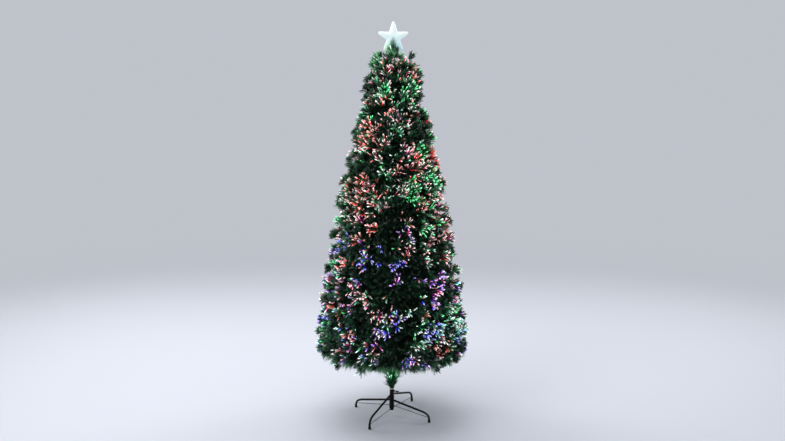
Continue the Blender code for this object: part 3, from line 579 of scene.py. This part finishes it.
def add_outline_brush(needles, fibres, twig, across, level, depth):
    """One brush of a twig. A brush with a depth is an inner one: darker with painted shade, wider and unlit.
    """
    radius = outline_radius(level)
    end = around(radius, twig.turn + across / radius, level)
    hollow = hollow_at(end)
    light = light_at(end)
    if depth or hollow > unlit_hollow:
        light = unlit
    way = unit(twig.direction + brush_fan * unit(end - twig.neck) + random.normal(0.0, brush_way_jitter, 3))
    back = set_back(level)
    # Painted light and shade in the needles' tints: darker the further a brush stands back, brighter the
    # stronger the light of its fibres.
    shade = (1.0 - 11.0 * max(back, 0.0)) * random.uniform(0.75, 1.12) * (0.78 + 0.40 * light[1])
    # Painted light: needles paler towards the top of the tree.
    shade *= np.interp(level, crown_heights, (1.0, crown_painted_light))
    end = end - way * (back + depth + hollow_depth * hollow)
    root = end - way * brush_length * random.uniform(0.88, 1.08)
    if not depth:
        needles.rod((twig.neck, root + way * 0.006), brush_wire_radii, 5, rod_slot)
    reach = brush_radius * random.uniform(0.85, 1.10) * (1.0 + 0.3 * hollow) * (1.2 if depth else 1.0)
    # Painted shade: darker in a hollow, and darker still in an inner brush.
    shade = shade * (1.0 - 0.65 * hollow) * (0.45 if depth else 1.0)
    Brush(root, end, reach).add(needles, fibres, light, shade)


def add_cluster(needles, fibres, twig, inner_depths, level_shares):
    """The brushes of one twig, with inner ones and needles behind them."""
    columns = max(round(twig.width / brush_pitch), 2)
    at_side = len(level_shares) == 2 and abs(math.cos(twig.turn)) > side_cosine
    gathering = side_gathering if at_side else 1.0
    rows = [(number % 2, level_share, 0.0) for number, level_share in enumerate(level_shares)]
    rows += [(0, level_share, depth) for level_share, depth in zip(inner_level_shares, inner_depths)]
    for shift, level_share, depth in rows:
        for column in range(columns):
            across = twig.width * ((column + 0.25 + 0.5 * shift) / columns - 0.5)
            across += random.normal(0.0, brush_across_jitter)
            level = twig.height + twig.tallness * level_share * gathering
            level += random.normal(0.0, brush_level_jitter)
            add_outline_brush(needles, fibres, twig, across, level, depth)
    # Dark needles behind the brushes: painted shade between them.
    add_garland(needles, twig.neck - twig.direction * 0.030, twig.neck + twig.direction * 0.014, "tip")


def add_fringe(needles, start, end, clumps):
    """Clumps of needles that droop outward under a lowest twig, pale with painted light from below."""
    axis = unit(end - start)
    _up, sideways = across_axes(axis)
    starts = start + (end - start) * random.uniform(0.10, 0.60, clumps)[:, None]
    starts += sideways * random.normal(0.0, 0.018, clumps)[:, None]
    outward = random.uniform(0.3, 1.1, clumps)[:, None]
    aside = random.normal(0.0, 0.4, clumps)[:, None]
    ways = axis * outward + sideways * aside
    ways[:, 2] -= random.uniform(0.35, 1.0, clumps)
    ways /= np.linalg.norm(ways, axis=1)[:, None]
    lengths = random.uniform(0.024, 0.044, clumps)
    starts, ways, lengths = (np.repeat(part, clump_needles, axis=0) for part in (starts, ways, lengths))
    count = clumps * clump_needles
    starts = starts + random.normal(0.0, 0.0022, (count, 3))
    ways = ways + random.normal(0.0, 0.10, (count, 3))
    ends = starts + ways * (lengths * random.uniform(0.8, 1.1, count))[:, None]
    widths = needle_width * random.uniform(1.0, 1.6, count)
    # Their high tints are painted light, as from the pale floor below.
    needles.strands(starts, ends, widths, random.uniform(0.84, 1.0, count), needle_slot, *tapering)


def add_garland(needles, low, high, kind, thickness=1.0):
    """Needles that stand out all along a rod and lean towards its far end."""
    density, length, tints, leans = garlands[kind]
    axis = unit(high - low)
    up, sideways = across_axes(axis)
    span = np.linalg.norm(high - low)
    count = max(int(span * (density * thickness)), 4)
    turns = 2 * math.pi * random.random(count)
    leans = np.radians(random.uniform(*leans, count))
    radial = np.cos(turns)[:, None] * up + np.sin(turns)[:, None] * sideways
    starts = low + axis * (random.random(count) * span)[:, None] + radial * 0.0006
    ways = axis * np.cos(leans)[:, None] + radial * np.sin(leans)[:, None]
    ends = starts + ways * (length * random.uniform(0.75, 1.1, count))[:, None]
    tints = random.uniform(*tints, count)
    widths = needle_width * random.uniform(0.8, 1.3, count)
    needles.strands(starts, ends, widths, tints, needle_slot, *tapering)


def branch_twig(tier, turn, row, column):
    """The end of a branch's twig in a row and column of the branch's sector of the outline."""
    count = branch_counts[tier]
    sector = 2 * math.pi / count
    columns = 3 if row == row_middle else 4
    height = row_height(tier, row)
    twig_turn = turn + sector * ((column + 0.5) / columns - 0.5)
    centre, direction = tip_frame(twig_turn, height, count * 4)
    width = outline_radius(height) * sector / columns
    return centre, Twig(centre - direction * tip_length, direction, twig_turn, height, width, row_pitch)


def make_branch(tier, number):
    name = f"branch_{tier + 1}_{number + 1}"
    turn = math.radians(branch_turns[tier]) + 2 * math.pi * number / branch_counts[tier]
    rise = math.radians(stem_rises[tier])
    pin = around(pin_place_radius, turn, pin_height(tier))
    along = around(math.cos(rise), turn, math.sin(rise))
    sideways = around(1.0, turn + math.pi / 2, 0.0)
    normal = np.cross(along, sideways)
    needles, fibres = Shapes(), Shapes()

    row_lifts = random.normal(0.0, row_lift_jitter, 3)
    if tier == 0:
        row_lifts[row_lower] = lowest_row_lift
    centre, twig = branch_twig(tier, turn, *end_twig)
    stem_end = centre - twig.direction * (tip_length + tip_stub_length)
    stem_length = np.linalg.norm(stem_end - pin)
    thickness = low_tier_thickness.get(tier, 1.0)
    inner_depths = (0.042, 0.080) if tier < 4 else (0.045,)
    level_shares = low_level_shares if tier < 3 else high_level_shares
    needles.eye(pin, along, sideways, normal, rod_slot)
    needles.rod((pin + along * heel_end * 0.98, stem_end), stem_radii, 8, rod_slot)
    add_garland(needles, pin + along * 0.012, stem_end, "stem", thickness)
    add_garland(needles, pin + along * 0.010, pin + along * 0.060, "stem_root", thickness)

    side_ways = {side_down: -normal, side_plus: sideways, side_up: normal, side_minus: -sideways}
    bases = [(pin + along * stem_length * stem_collar_shares[collar] + side_ways[side] * 0.001, row, column)
             for collar, side, row, column in twig_plan]
    bases.append((stem_end - along * 0.002, *end_twig))
    for base, row, column in bases:
        centre, twig = branch_twig(tier, turn, row, column)
        needles.rod((base, twig.neck), twig_radii, 6, rod_slot)
        add_garland(needles, base, twig.neck, "twig", thickness)
        lifted = twig._replace(height=twig.height + row_lifts[row])
        add_cluster(needles, fibres, lifted, inner_depths, level_shares)
        if tier == 0 and row == row_lower:
            add_fringe(needles, twig.neck, centre, 26)
    finish_pair(name, needles, fibres, name)
    for ending in ("foliage", "fibres"):
        piece = bpy.data.objects[f"{name}_{ending}"]
        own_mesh(piece)


def finish_pair(name, needles, fibres, body):
    foliage = needles.piece(f"{name}_foliage", [needle_surface, wire_surface], np.array((0, 1)))
    lights = fibres.piece(f"{name}_fibres", fibre_surfaces, np.arange(len(light_names)))
    for piece in (foliage, lights):
        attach(piece, body)
    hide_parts(name)


def add_spray_tip(needles, fibres, turn):
    """One of the spray's lower twigs. Those at the sides make the shoulders of the tree."""
    height = spray_lower_height
    centre, direction = tip_frame(turn, height, spray_sides)
    base = around(spray_base_radius, turn, spray_lower_base)
    neck = centre - direction * tip_length
    needles.rod((base, neck), twig_radii, 6, rod_slot)
    add_garland(needles, base, neck, "spray_twig")
    drop = abs(math.cos(turn)) * np.interp(math.cos(turn), (-1.0, 1.0), shoulder_drops)
    width = 2 * math.pi * outline_radius(height) / spray_sides
    twig = Twig(neck, direction, turn, height - drop, width, 0.060)
    add_cluster(needles, fibres, twig, (), leader_level_shares)


def add_spray_top(needles, fibres, turn):
    """One of the spray's steep upper twigs, with a narrow brush."""
    steep = math.radians(62.0)
    direction = around(math.cos(steep), turn, math.sin(steep))
    centre = around(0.050, turn, spray_upper_height)
    neck = centre - direction * tip_length
    needles.rod((around(spray_base_radius, turn, spray_upper_base), neck), twig_radii, 6, rod_slot)
    add_garland(needles, neck, neck + direction * 0.022, "spray_top")
    end = centre + random.normal(0.0, 0.004, 3) - direction * 0.008
    light = light_at(centre)
    Brush(neck, end, 0.013).add(needles, fibres, light, 0.9)


def add_star_needles(needles, side):
    """Needles that stand up in front of the star, or behind it."""
    across = random.normal(0.0, 0.0080, star_needles)
    heights = random.uniform(spray_upper_base, foliage_top - 0.030, star_needles)
    bases = np.column_stack((across * 0.35, np.full(star_needles, side * 0.0140), heights))
    tops = foliage_top + star_needle_rise * random.uniform(0.0, 1.0, star_needles) - np.abs(across) * 1.7
    depths = side * random.uniform(0.0165, 0.0195, star_needles)
    points = np.column_stack((across * 1.7, depths, tops))
    widths = needle_width * random.uniform(0.8, 1.2, star_needles)
    tints = random.uniform(0.20, 0.80, star_needles)
    needles.strands(bases, points, widths, tints, needle_slot, *tapering)


def make_leader():
    """Spray of brushes round the top of the pole, under the star."""
    needles, fibres = Shapes(), Shapes()
    collar = ((0, 0, spray_lower_base - 0.010), (0, upright_lean, spray_upper_base + 0.010))
    needles.rod(collar, (0.0126, 0.0126), 20, rod_slot)
    for side in range(spray_sides):
        turn = 2 * math.pi * side / spray_sides
        add_spray_tip(needles, fibres, turn)
        if abs(math.sin(turn)) > math.sin(math.radians(45.0)):
            add_spray_top(needles, fibres, turn)
    for turn in np.radians(np.arange(0.0, 360.0, 24.0)):
        base = around(spray_base_radius, turn, spray_upper_base - 0.02)
        add_garland(needles, base, base + around(0.010, turn, 0.055), "spray_collar")
    for side in (-1, 1):
        add_star_needles(needles, side)
    finish_pair("leader_spray", needles, fibres, "upper_section")


def add_tuft_needles(needles):
    count = tuft_clumps * clump_needles

    def clumped(values):
        return np.repeat(values, clump_needles)

    share = clumped(random.random(tuft_clumps) ** 1.25)
    turns = clumped(2 * math.pi * random.random(tuft_clumps)) + random.normal(0.0, 0.10, count)
    rises = clumped(random.uniform(16.0, 62.0, tuft_clumps)) + random.normal(0.0, 4.0, count)
    rises = np.radians(rises)
    reaches = clumped(random.uniform(0.028, 0.053, tuft_clumps)) * random.uniform(0.85, 1.05, count)
    outward = np.column_stack((np.cos(turns), np.sin(turns), np.zeros(count)))
    upward = np.array((0.0, 0.0, 1.0))
    starts = outward * 0.0105 + upward * (tuft_bottom + 0.003 + share * tuft_height * 0.92)[:, None]
    starts[:, 2] += random.uniform(0.0, 0.006, count)
    ways = outward * np.cos(rises)[:, None] + upward * np.sin(rises)[:, None]
    ends = starts + ways * (reaches - 0.012 * np.exp(-share * 9.0))[:, None]
    widths = needle_width * random.uniform(1.0, 1.5, count)
    needles.strands(starts, ends, widths, random.uniform(0.40, 0.97, count), needle_slot, *tapering)


def add_tuft_fibres(fibres):
    turn = 2 * math.pi * random.random()
    rise = math.radians(random.uniform(48.0, 70.0))
    start = around(0.0105, turn, tuft_bottom + random.uniform(0.02, 0.13))
    way = around(math.cos(rise), turn, math.sin(rise))
    ends = start + way * random.uniform(0.036, 0.050) + random.normal(0.0, 0.0012, (ray_fibres, 3))
    name = "mint" if random.random() < 0.6 else "green"
    starts = np.tile(start, (ray_fibres, 1))
    widths = np.full(ray_fibres, fibre_width)
    tints = np.full(ray_fibres, random.uniform(0.2, 0.8))
    fibres.strands(ends, starts, widths, tints, light_names.index(name), 0.97, 0.2)


def make_tuft():
    """Needles that stand up and out round the foot of the pole, with a few lit fibres."""
    needles, fibres = Shapes(), Shapes()
    collar = ((0, 0, tuft_bottom), (0, upright_lean, tuft_bottom + tuft_height))
    needles.rod(collar, (0.0115, 0.0115), 20, rod_slot)
    add_tuft_needles(needles)
    for _ in range(tuft_fibre_groups):
        add_tuft_fibres(fibres)
    finish_pair("trunk_tuft", needles, fibres, "lower_section")


# Materials

fibre_glow = 3.6
star_glow = 0.57
star_glow_heights = (1.670, 1.790)
star_foot_sides = (-0.030, 0.030)


def new_surface(name, colour, roughness, metallic=0.0):
    surface = bpy.data.materials.new(name)
    surface.use_nodes = True
    shader = surface.node_tree.nodes["Principled BSDF"]
    shader.inputs["Base Color"].default_value = (*colour, 1.0)
    shader.inputs["Roughness"].default_value = roughness
    shader.inputs["Metallic"].default_value = metallic
    return surface, surface.node_tree, shader


def node(tree, kind, **settings):
    made = tree.nodes.new(kind)
    for key, value in settings.items():
        if key in made.inputs:
            made.inputs[key].default_value = value
        else:
            setattr(made, key, value)
    return made


def ramp(tree, source, stops):
    made = tree.nodes.new("ShaderNodeValToRGB")
    elements = made.color_ramp.elements
    while len(elements) < len(stops):
        elements.new(0.5)
    for element, (position, colour) in zip(elements, stops):
        element.position = position
        element.color = (*colour, 1.0)
    tree.links.new(source, made.inputs["Fac"])
    return made.outputs["Color"]


def mapped(tree, source, low, high, interpolation="LINEAR"):
    """0 where the source is at its low value, 1 where it is at its high one."""
    made = node(tree, "ShaderNodeMapRange", interpolation_type=interpolation)
    made.inputs["From Min"].default_value = low
    made.inputs["From Max"].default_value = high
    tree.links.new(source, made.inputs["Value"])
    return made.outputs["Result"]


def multiplied(tree, one, two, share=None):
    mix = node(tree, "ShaderNodeMix", data_type="RGBA", blend_type="MULTIPLY", Factor=1.0)
    if share:
        tree.links.new(share, mix.inputs["Factor"])
    tree.links.new(one, mix.inputs["A"])
    tree.links.new(two, mix.inputs["B"])
    return mix.outputs["Result"]


def strand_places(tree):
    """The tint across a strand's map, and how far along the strand a place is."""
    source = node(tree, "ShaderNodeUVMap", uv_map="strand")
    split = tree.nodes.new("ShaderNodeSeparateXYZ")
    tree.links.new(source.outputs["UV"], split.inputs["Vector"])
    return split.outputs["X"], split.outputs["Y"]


def make_needle_surface():
    surface, tree, shader = new_surface("pvc_needles", (0.02, 0.10, 0.04), 0.50)
    shader.inputs["Specular IOR Level"].default_value = 0.14
    tint, along = strand_places(tree)
    # The palest tints carry painted light, such as on the fringe lit from below.
    green = ramp(tree, tint, ((0.0, (0.004, 0.016, 0.007)), (0.35, (0.008, 0.052, 0.020)),
                              (0.70, (0.032, 0.225, 0.088)), (0.88, (0.105, 0.380, 0.160)),
                              (1.0, (0.320, 0.640, 0.350))))
    # Painted shade: each strand is darker towards its inner end, deep in its brush or garland.
    depth = ramp(tree, along, ((0.0, (0.30, 0.30, 0.32)), (0.5, (0.62, 0.64, 0.62)), (1.0, (1.0, 1.0, 1.0))))
    tree.links.new(multiplied(tree, green, depth), shader.inputs["Base Color"])
    return surface


def make_wire_surface():
    surface, tree, shader = new_surface("green_wire", (0.010, 0.045, 0.020), 0.5, 0.2)
    twist = node(tree, "ShaderNodeTexWave", Scale=160.0, Distortion=2.0)
    place = tree.nodes.new("ShaderNodeTexCoord")
    tree.links.new(place.outputs["Object"], twist.inputs["Vector"])
    colour = ramp(tree, twist.outputs["Fac"], ((0.0, (0.005, 0.026, 0.012)), (1.0, (0.014, 0.060, 0.026))))
    tree.links.new(colour, shader.inputs["Base Color"])
    return surface


def make_fibre_surface(name):
    stretch, cut_end = light_colours[name]
    surface, tree, shader = new_surface(f"fibre_{name}", (0.02, 0.05, 0.03), 0.25)
    tint, along = strand_places(tree)
    body = ramp(tree, along, ((0.0, (0.006, 0.026, 0.014)), (0.6, (0.012, 0.050, 0.026)),
                              (1.0, (0.07, 0.11, 0.09))))
    tree.links.new(body, shader.inputs["Base Color"])
    glow = ramp(tree, along, ((0.12, (0.0, 0.0, 0.0)), (0.36, tuple(0.36 * c for c in stretch)),
                              (0.66, stretch), (0.93, cut_end)))
    level = ramp(tree, tint, ((0.03, (0.0, 0.0, 0.0)), (1.0, (1.0, 1.0, 1.0))))
    tree.links.new(multiplied(tree, glow, level), shader.inputs["Emission Color"])
    shader.inputs["Emission Strength"].default_value = fibre_glow
    surface.cycles.emission_sampling = "NONE"
    return surface


def add_grain(tree, shader, scale, detail, strength, depth):
    """Fine relief on a surface. Its noise is given back for colours."""
    place = tree.nodes.new("ShaderNodeTexCoord")
    noise = node(tree, "ShaderNodeTexNoise", Scale=scale, Detail=detail)
    tree.links.new(place.outputs["Object"], noise.inputs["Vector"])
    relief = node(tree, "ShaderNodeBump", Strength=strength, Distance=depth)
    tree.links.new(noise.outputs["Fac"], relief.inputs["Height"])
    tree.links.new(relief.outputs["Normal"], shader.inputs["Normal"])
    return noise.outputs["Fac"]


def make_moulded(name, colour, roughness, grain, bump, vary=0.25, shine=0.5):
    """Painted or moulded finish: a fine grain in its colour, roughness and surface."""
    surface, tree, shader = new_surface(name, colour, roughness)
    shader.inputs["Specular IOR Level"].default_value = shine
    noise = add_grain(tree, shader, grain, 4.0, bump, 0.0004)
    dark = tuple(c * (1.0 - vary) for c in colour)
    pale = tuple(min(c * (1.0 + vary), 1.0) for c in colour)
    tree.links.new(ramp(tree, noise, ((0.3, dark), (0.7, pale))), shader.inputs["Base Color"])
    rough = ramp(tree, noise, ((0.3, (roughness * 0.85,) * 3), (0.7, (roughness * 1.15,) * 3)))
    tree.links.new(rough, shader.inputs["Roughness"])
    return surface


def make_star_surface():
    """Frosted shell that glows from inside: whitest above, its lower points tinted green and blue."""
    surface, tree, shader = new_surface("frosted_star", (0.35, 0.42, 0.42), 0.45)
    shader.inputs["Specular IOR Level"].default_value = 0.3
    place = tree.nodes.new("ShaderNodeTexCoord")
    split = tree.nodes.new("ShaderNodeSeparateXYZ")
    tree.links.new(place.outputs["Object"], split.inputs["Vector"])
    height = mapped(tree, split.outputs["Z"], *star_glow_heights)
    glow = ramp(tree, height, ((0.0, (0.72, 0.96, 0.98)), (0.45, (0.74, 0.98, 1.0)),
                               (0.70, (0.94, 1.0, 1.0)), (1.0, (0.97, 1.0, 1.0))))
    side = mapped(tree, split.outputs["X"], *star_foot_sides)
    foot_tint = ramp(tree, side, ((0.0, (0.86, 1.0, 0.62)), (0.25, (0.56, 1.0, 0.66)),
                                  (0.5, (0.80, 1.0, 1.0)), (1.0, (0.74, 0.86, 1.0))))
    foot_share = ramp(tree, height, ((0.22, (1.0,) * 3), (0.42, (0.0,) * 3)))
    tree.links.new(multiplied(tree, glow, foot_tint, foot_share), shader.inputs["Emission Color"])
    shader.inputs["Emission Strength"].default_value = star_glow
    add_grain(tree, shader, 420.0, 3.0, 0.15, 0.0003)
    return surface


def dress(surface, *names):
    for name in names:
        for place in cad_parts[name].material_slots:
            place.link = "OBJECT"
            place.material = surface


# Studio

floor_radius = 4.2
cove_radius = 2.2
cove_steps = 12
wall_top = 6.0
studio_sides = 96
studio_colour = (0.52, 0.54, 0.59)
fade_distances = (0.9, 5.0)

# The photo's camera, fitted to the feet, the axis and the star. The focal length is in the photo's pixels
camera_place = (0.0, -3.2, 1.35)
camera_pitch = 7.63
camera_roll = 0.25
focal_pixels = 712
photo_width_pixels = 785
sensor_width = 36.0


def studio_mesh():
    """Floor that curves up into a wall on every side."""
    profile = [(0.0, 0.0), (1.2, 0.0), (2.6, 0.0), (floor_radius, 0.0)]
    for step in range(1, cove_steps + 1):
        swing = math.pi / 2 * step / cove_steps
        profile.append((floor_radius + cove_radius * math.sin(swing), cove_radius * (1 - math.cos(swing))))
    profile.append((floor_radius + cove_radius, wall_top))
    turns = 2 * math.pi * np.arange(studio_sides) / studio_sides
    corners = [(0.0, 0.0, 0.0)]
    for radius, height in profile[1:]:
        corners += [(radius * math.cos(a), radius * math.sin(a), height) for a in turns]
    faces = [(0, 1 + step, 1 + (step + 1) % studio_sides) for step in range(studio_sides)]
    for ring in range(len(profile) - 2):
        low, high = 1 + ring * studio_sides, 1 + (ring + 1) * studio_sides
        for step in range(studio_sides):
            following = (step + 1) % studio_sides
            faces.append((low + step, high + step, high + following, low + following))
    mesh = bpy.data.meshes.new("studio")
    mesh.from_pydata(corners, [], faces)
    mesh.shade_smooth()
    return mesh


def make_studio_surface():
    """Paper that fades to its own plain colour far from the tree, where the camera sees it."""
    surface, tree, shader = new_surface("studio_paper", studio_colour, 0.9)
    shader.inputs["Specular IOR Level"].default_value = 0.1
    place = tree.nodes.new("ShaderNodeTexCoord")
    distance = node(tree, "ShaderNodeVectorMath", operation="LENGTH")
    tree.links.new(place.outputs["Object"], distance.inputs[0])
    fade = mapped(tree, distance.outputs["Value"], *fade_distances, "SMOOTHSTEP")
    path = tree.nodes.new("ShaderNodeLightPath")
    seen = node(tree, "ShaderNodeMath", operation="MAXIMUM")
    tree.links.new(path.outputs["Is Camera Ray"], seen.inputs[0])
    tree.links.new(path.outputs["Is Glossy Ray"], seen.inputs[1])
    factor = node(tree, "ShaderNodeMath", operation="MULTIPLY")
    tree.links.new(seen.outputs["Value"], factor.inputs[0])
    tree.links.new(fade, factor.inputs[1])
    plain = node(tree, "ShaderNodeEmission", Color=(*studio_colour, 1.0), Strength=1.0)
    mix = tree.nodes.new("ShaderNodeMixShader")
    tree.links.new(factor.outputs["Value"], mix.inputs["Fac"])
    tree.links.new(shader.outputs["BSDF"], mix.inputs[1])
    tree.links.new(plain.outputs["Emission"], mix.inputs[2])
    tree.links.new(mix.outputs["Shader"], tree.nodes["Material Output"].inputs["Surface"])
    return surface


def make_studio():
    mesh = studio_mesh()
    mesh.materials.append(make_studio_surface())
    studio = bpy.data.objects.new("studio", mesh)
    bpy.context.scene.collection.objects.link(studio)


def make_world():
    world = bpy.data.worlds.new("studio")
    world.use_nodes = True
    background = world.node_tree.nodes["Background"]
    background.inputs["Color"].default_value = (0.92, 0.95, 1.0, 1.0)
    background.inputs["Strength"].default_value = 0.40
    bpy.context.scene.world = world


def add_lamp(name, location, aim, size, power):
    """Round lamp that points at a place. Its size is its diameter and its power is in watts."""
    lamp = bpy.data.lights.new(name, "AREA")
    lamp.shape = "DISK"
    lamp.size = size
    lamp.energy = power
    holder = bpy.data.objects.new(name, lamp)
    holder.location = location
    holder.rotation_euler = (Vector(aim) - Vector(location)).to_track_quat("-Z", "Y").to_euler()
    holder.visible_camera = False
    bpy.context.scene.collection.objects.link(holder)


def make_camera():
    lens = bpy.data.cameras.new("camera")
    lens.sensor_width = sensor_width
    lens.lens = sensor_width * focal_pixels / photo_width_pixels
    camera = bpy.data.objects.new("camera", lens)
    pitch = Matrix.Rotation(math.radians(90.0 - camera_pitch), 4, "X")
    roll = Matrix.Rotation(math.radians(camera_roll), 4, "Z")
    camera.matrix_world = Matrix.Translation(camera_place) @ (pitch @ roll)
    bpy.context.scene.collection.objects.link(camera)
    bpy.context.scene.camera = camera


# Everything together

needle_surface = make_needle_surface()
wire_surface = make_wire_surface()
fibre_surfaces = [make_fibre_surface(name) for name in light_names]
black_paint = make_moulded("black_paint", (0.0035, 0.0035, 0.0035), 0.36, 900.0, 0.25, shine=0.12)
foot_rubber = make_moulded("foot_rubber", (0.008, 0.008, 0.008), 0.72, 600.0, 0.5, shine=0.15)
pole_paint = make_moulded("pole_paint", (0.004, 0.020, 0.008), 0.60, 700.0, 0.2, shine=0.10)
hub_plastic = make_moulded("hub_plastic", (0.005, 0.026, 0.010), 0.60, 500.0, 0.3, shine=0.15)
tie_plastic = make_moulded("tie_plastic", (0.46, 0.42, 0.27), 0.62, 350.0, 0.6, vary=0.15)
socket_plastic = make_moulded("socket_plastic", (0.62, 0.68, 0.70), 0.45, 500.0, 0.2, vary=0.06)
gland_rubber = make_moulded("gland_rubber", (0.012, 0.030, 0.015), 0.70, 500.0, 0.4)
star_shell = make_star_surface()

dress(black_paint, "stand_tube", "swivel_sleeve", "clamp_screw")
for corner in ("front_left", "back_right", "left", "right"):
    dress(black_paint, f"leg_{corner}", f"brace_{corner}")
    dress(foot_rubber, f"foot_cap_{corner}")
dress(pole_paint, "lower_pole", "middle_pole", "upper_pole")
dress(hub_plastic, *(f"light_hub_{tier}" for tier in range(1, 7)))
dress(tie_plastic, "trunk_tie")
dress(gland_rubber, "lead_gland")
dress(star_shell, "star_front_shell", "star_rear_shell")
dress(socket_plastic, "star_socket")

for tier, count in enumerate(branch_counts):
    for number in range(count):
        make_branch(tier, number)
make_leader()
make_tuft()

make_studio()
add_lamp("top", (-0.6, 0.4, 4.4), (0.0, 0.0, 0.8), 4.6, 165.0)
add_lamp("key", (-3.0, -3.0, 2.8), (0.0, 0.0, 0.8), 2.4, 80.0)
add_lamp("rim_left", (-3.2, 2.2, 2.4), (0.0, 0.0, 0.9), 2.0, 72.0)
add_lamp("rim_right", (3.2, 2.2, 2.4), (0.0, 0.0, 0.9), 2.0, 72.0)
make_world()
make_camera()
bpy.context.scene.view_settings.view_transform = "Standard"
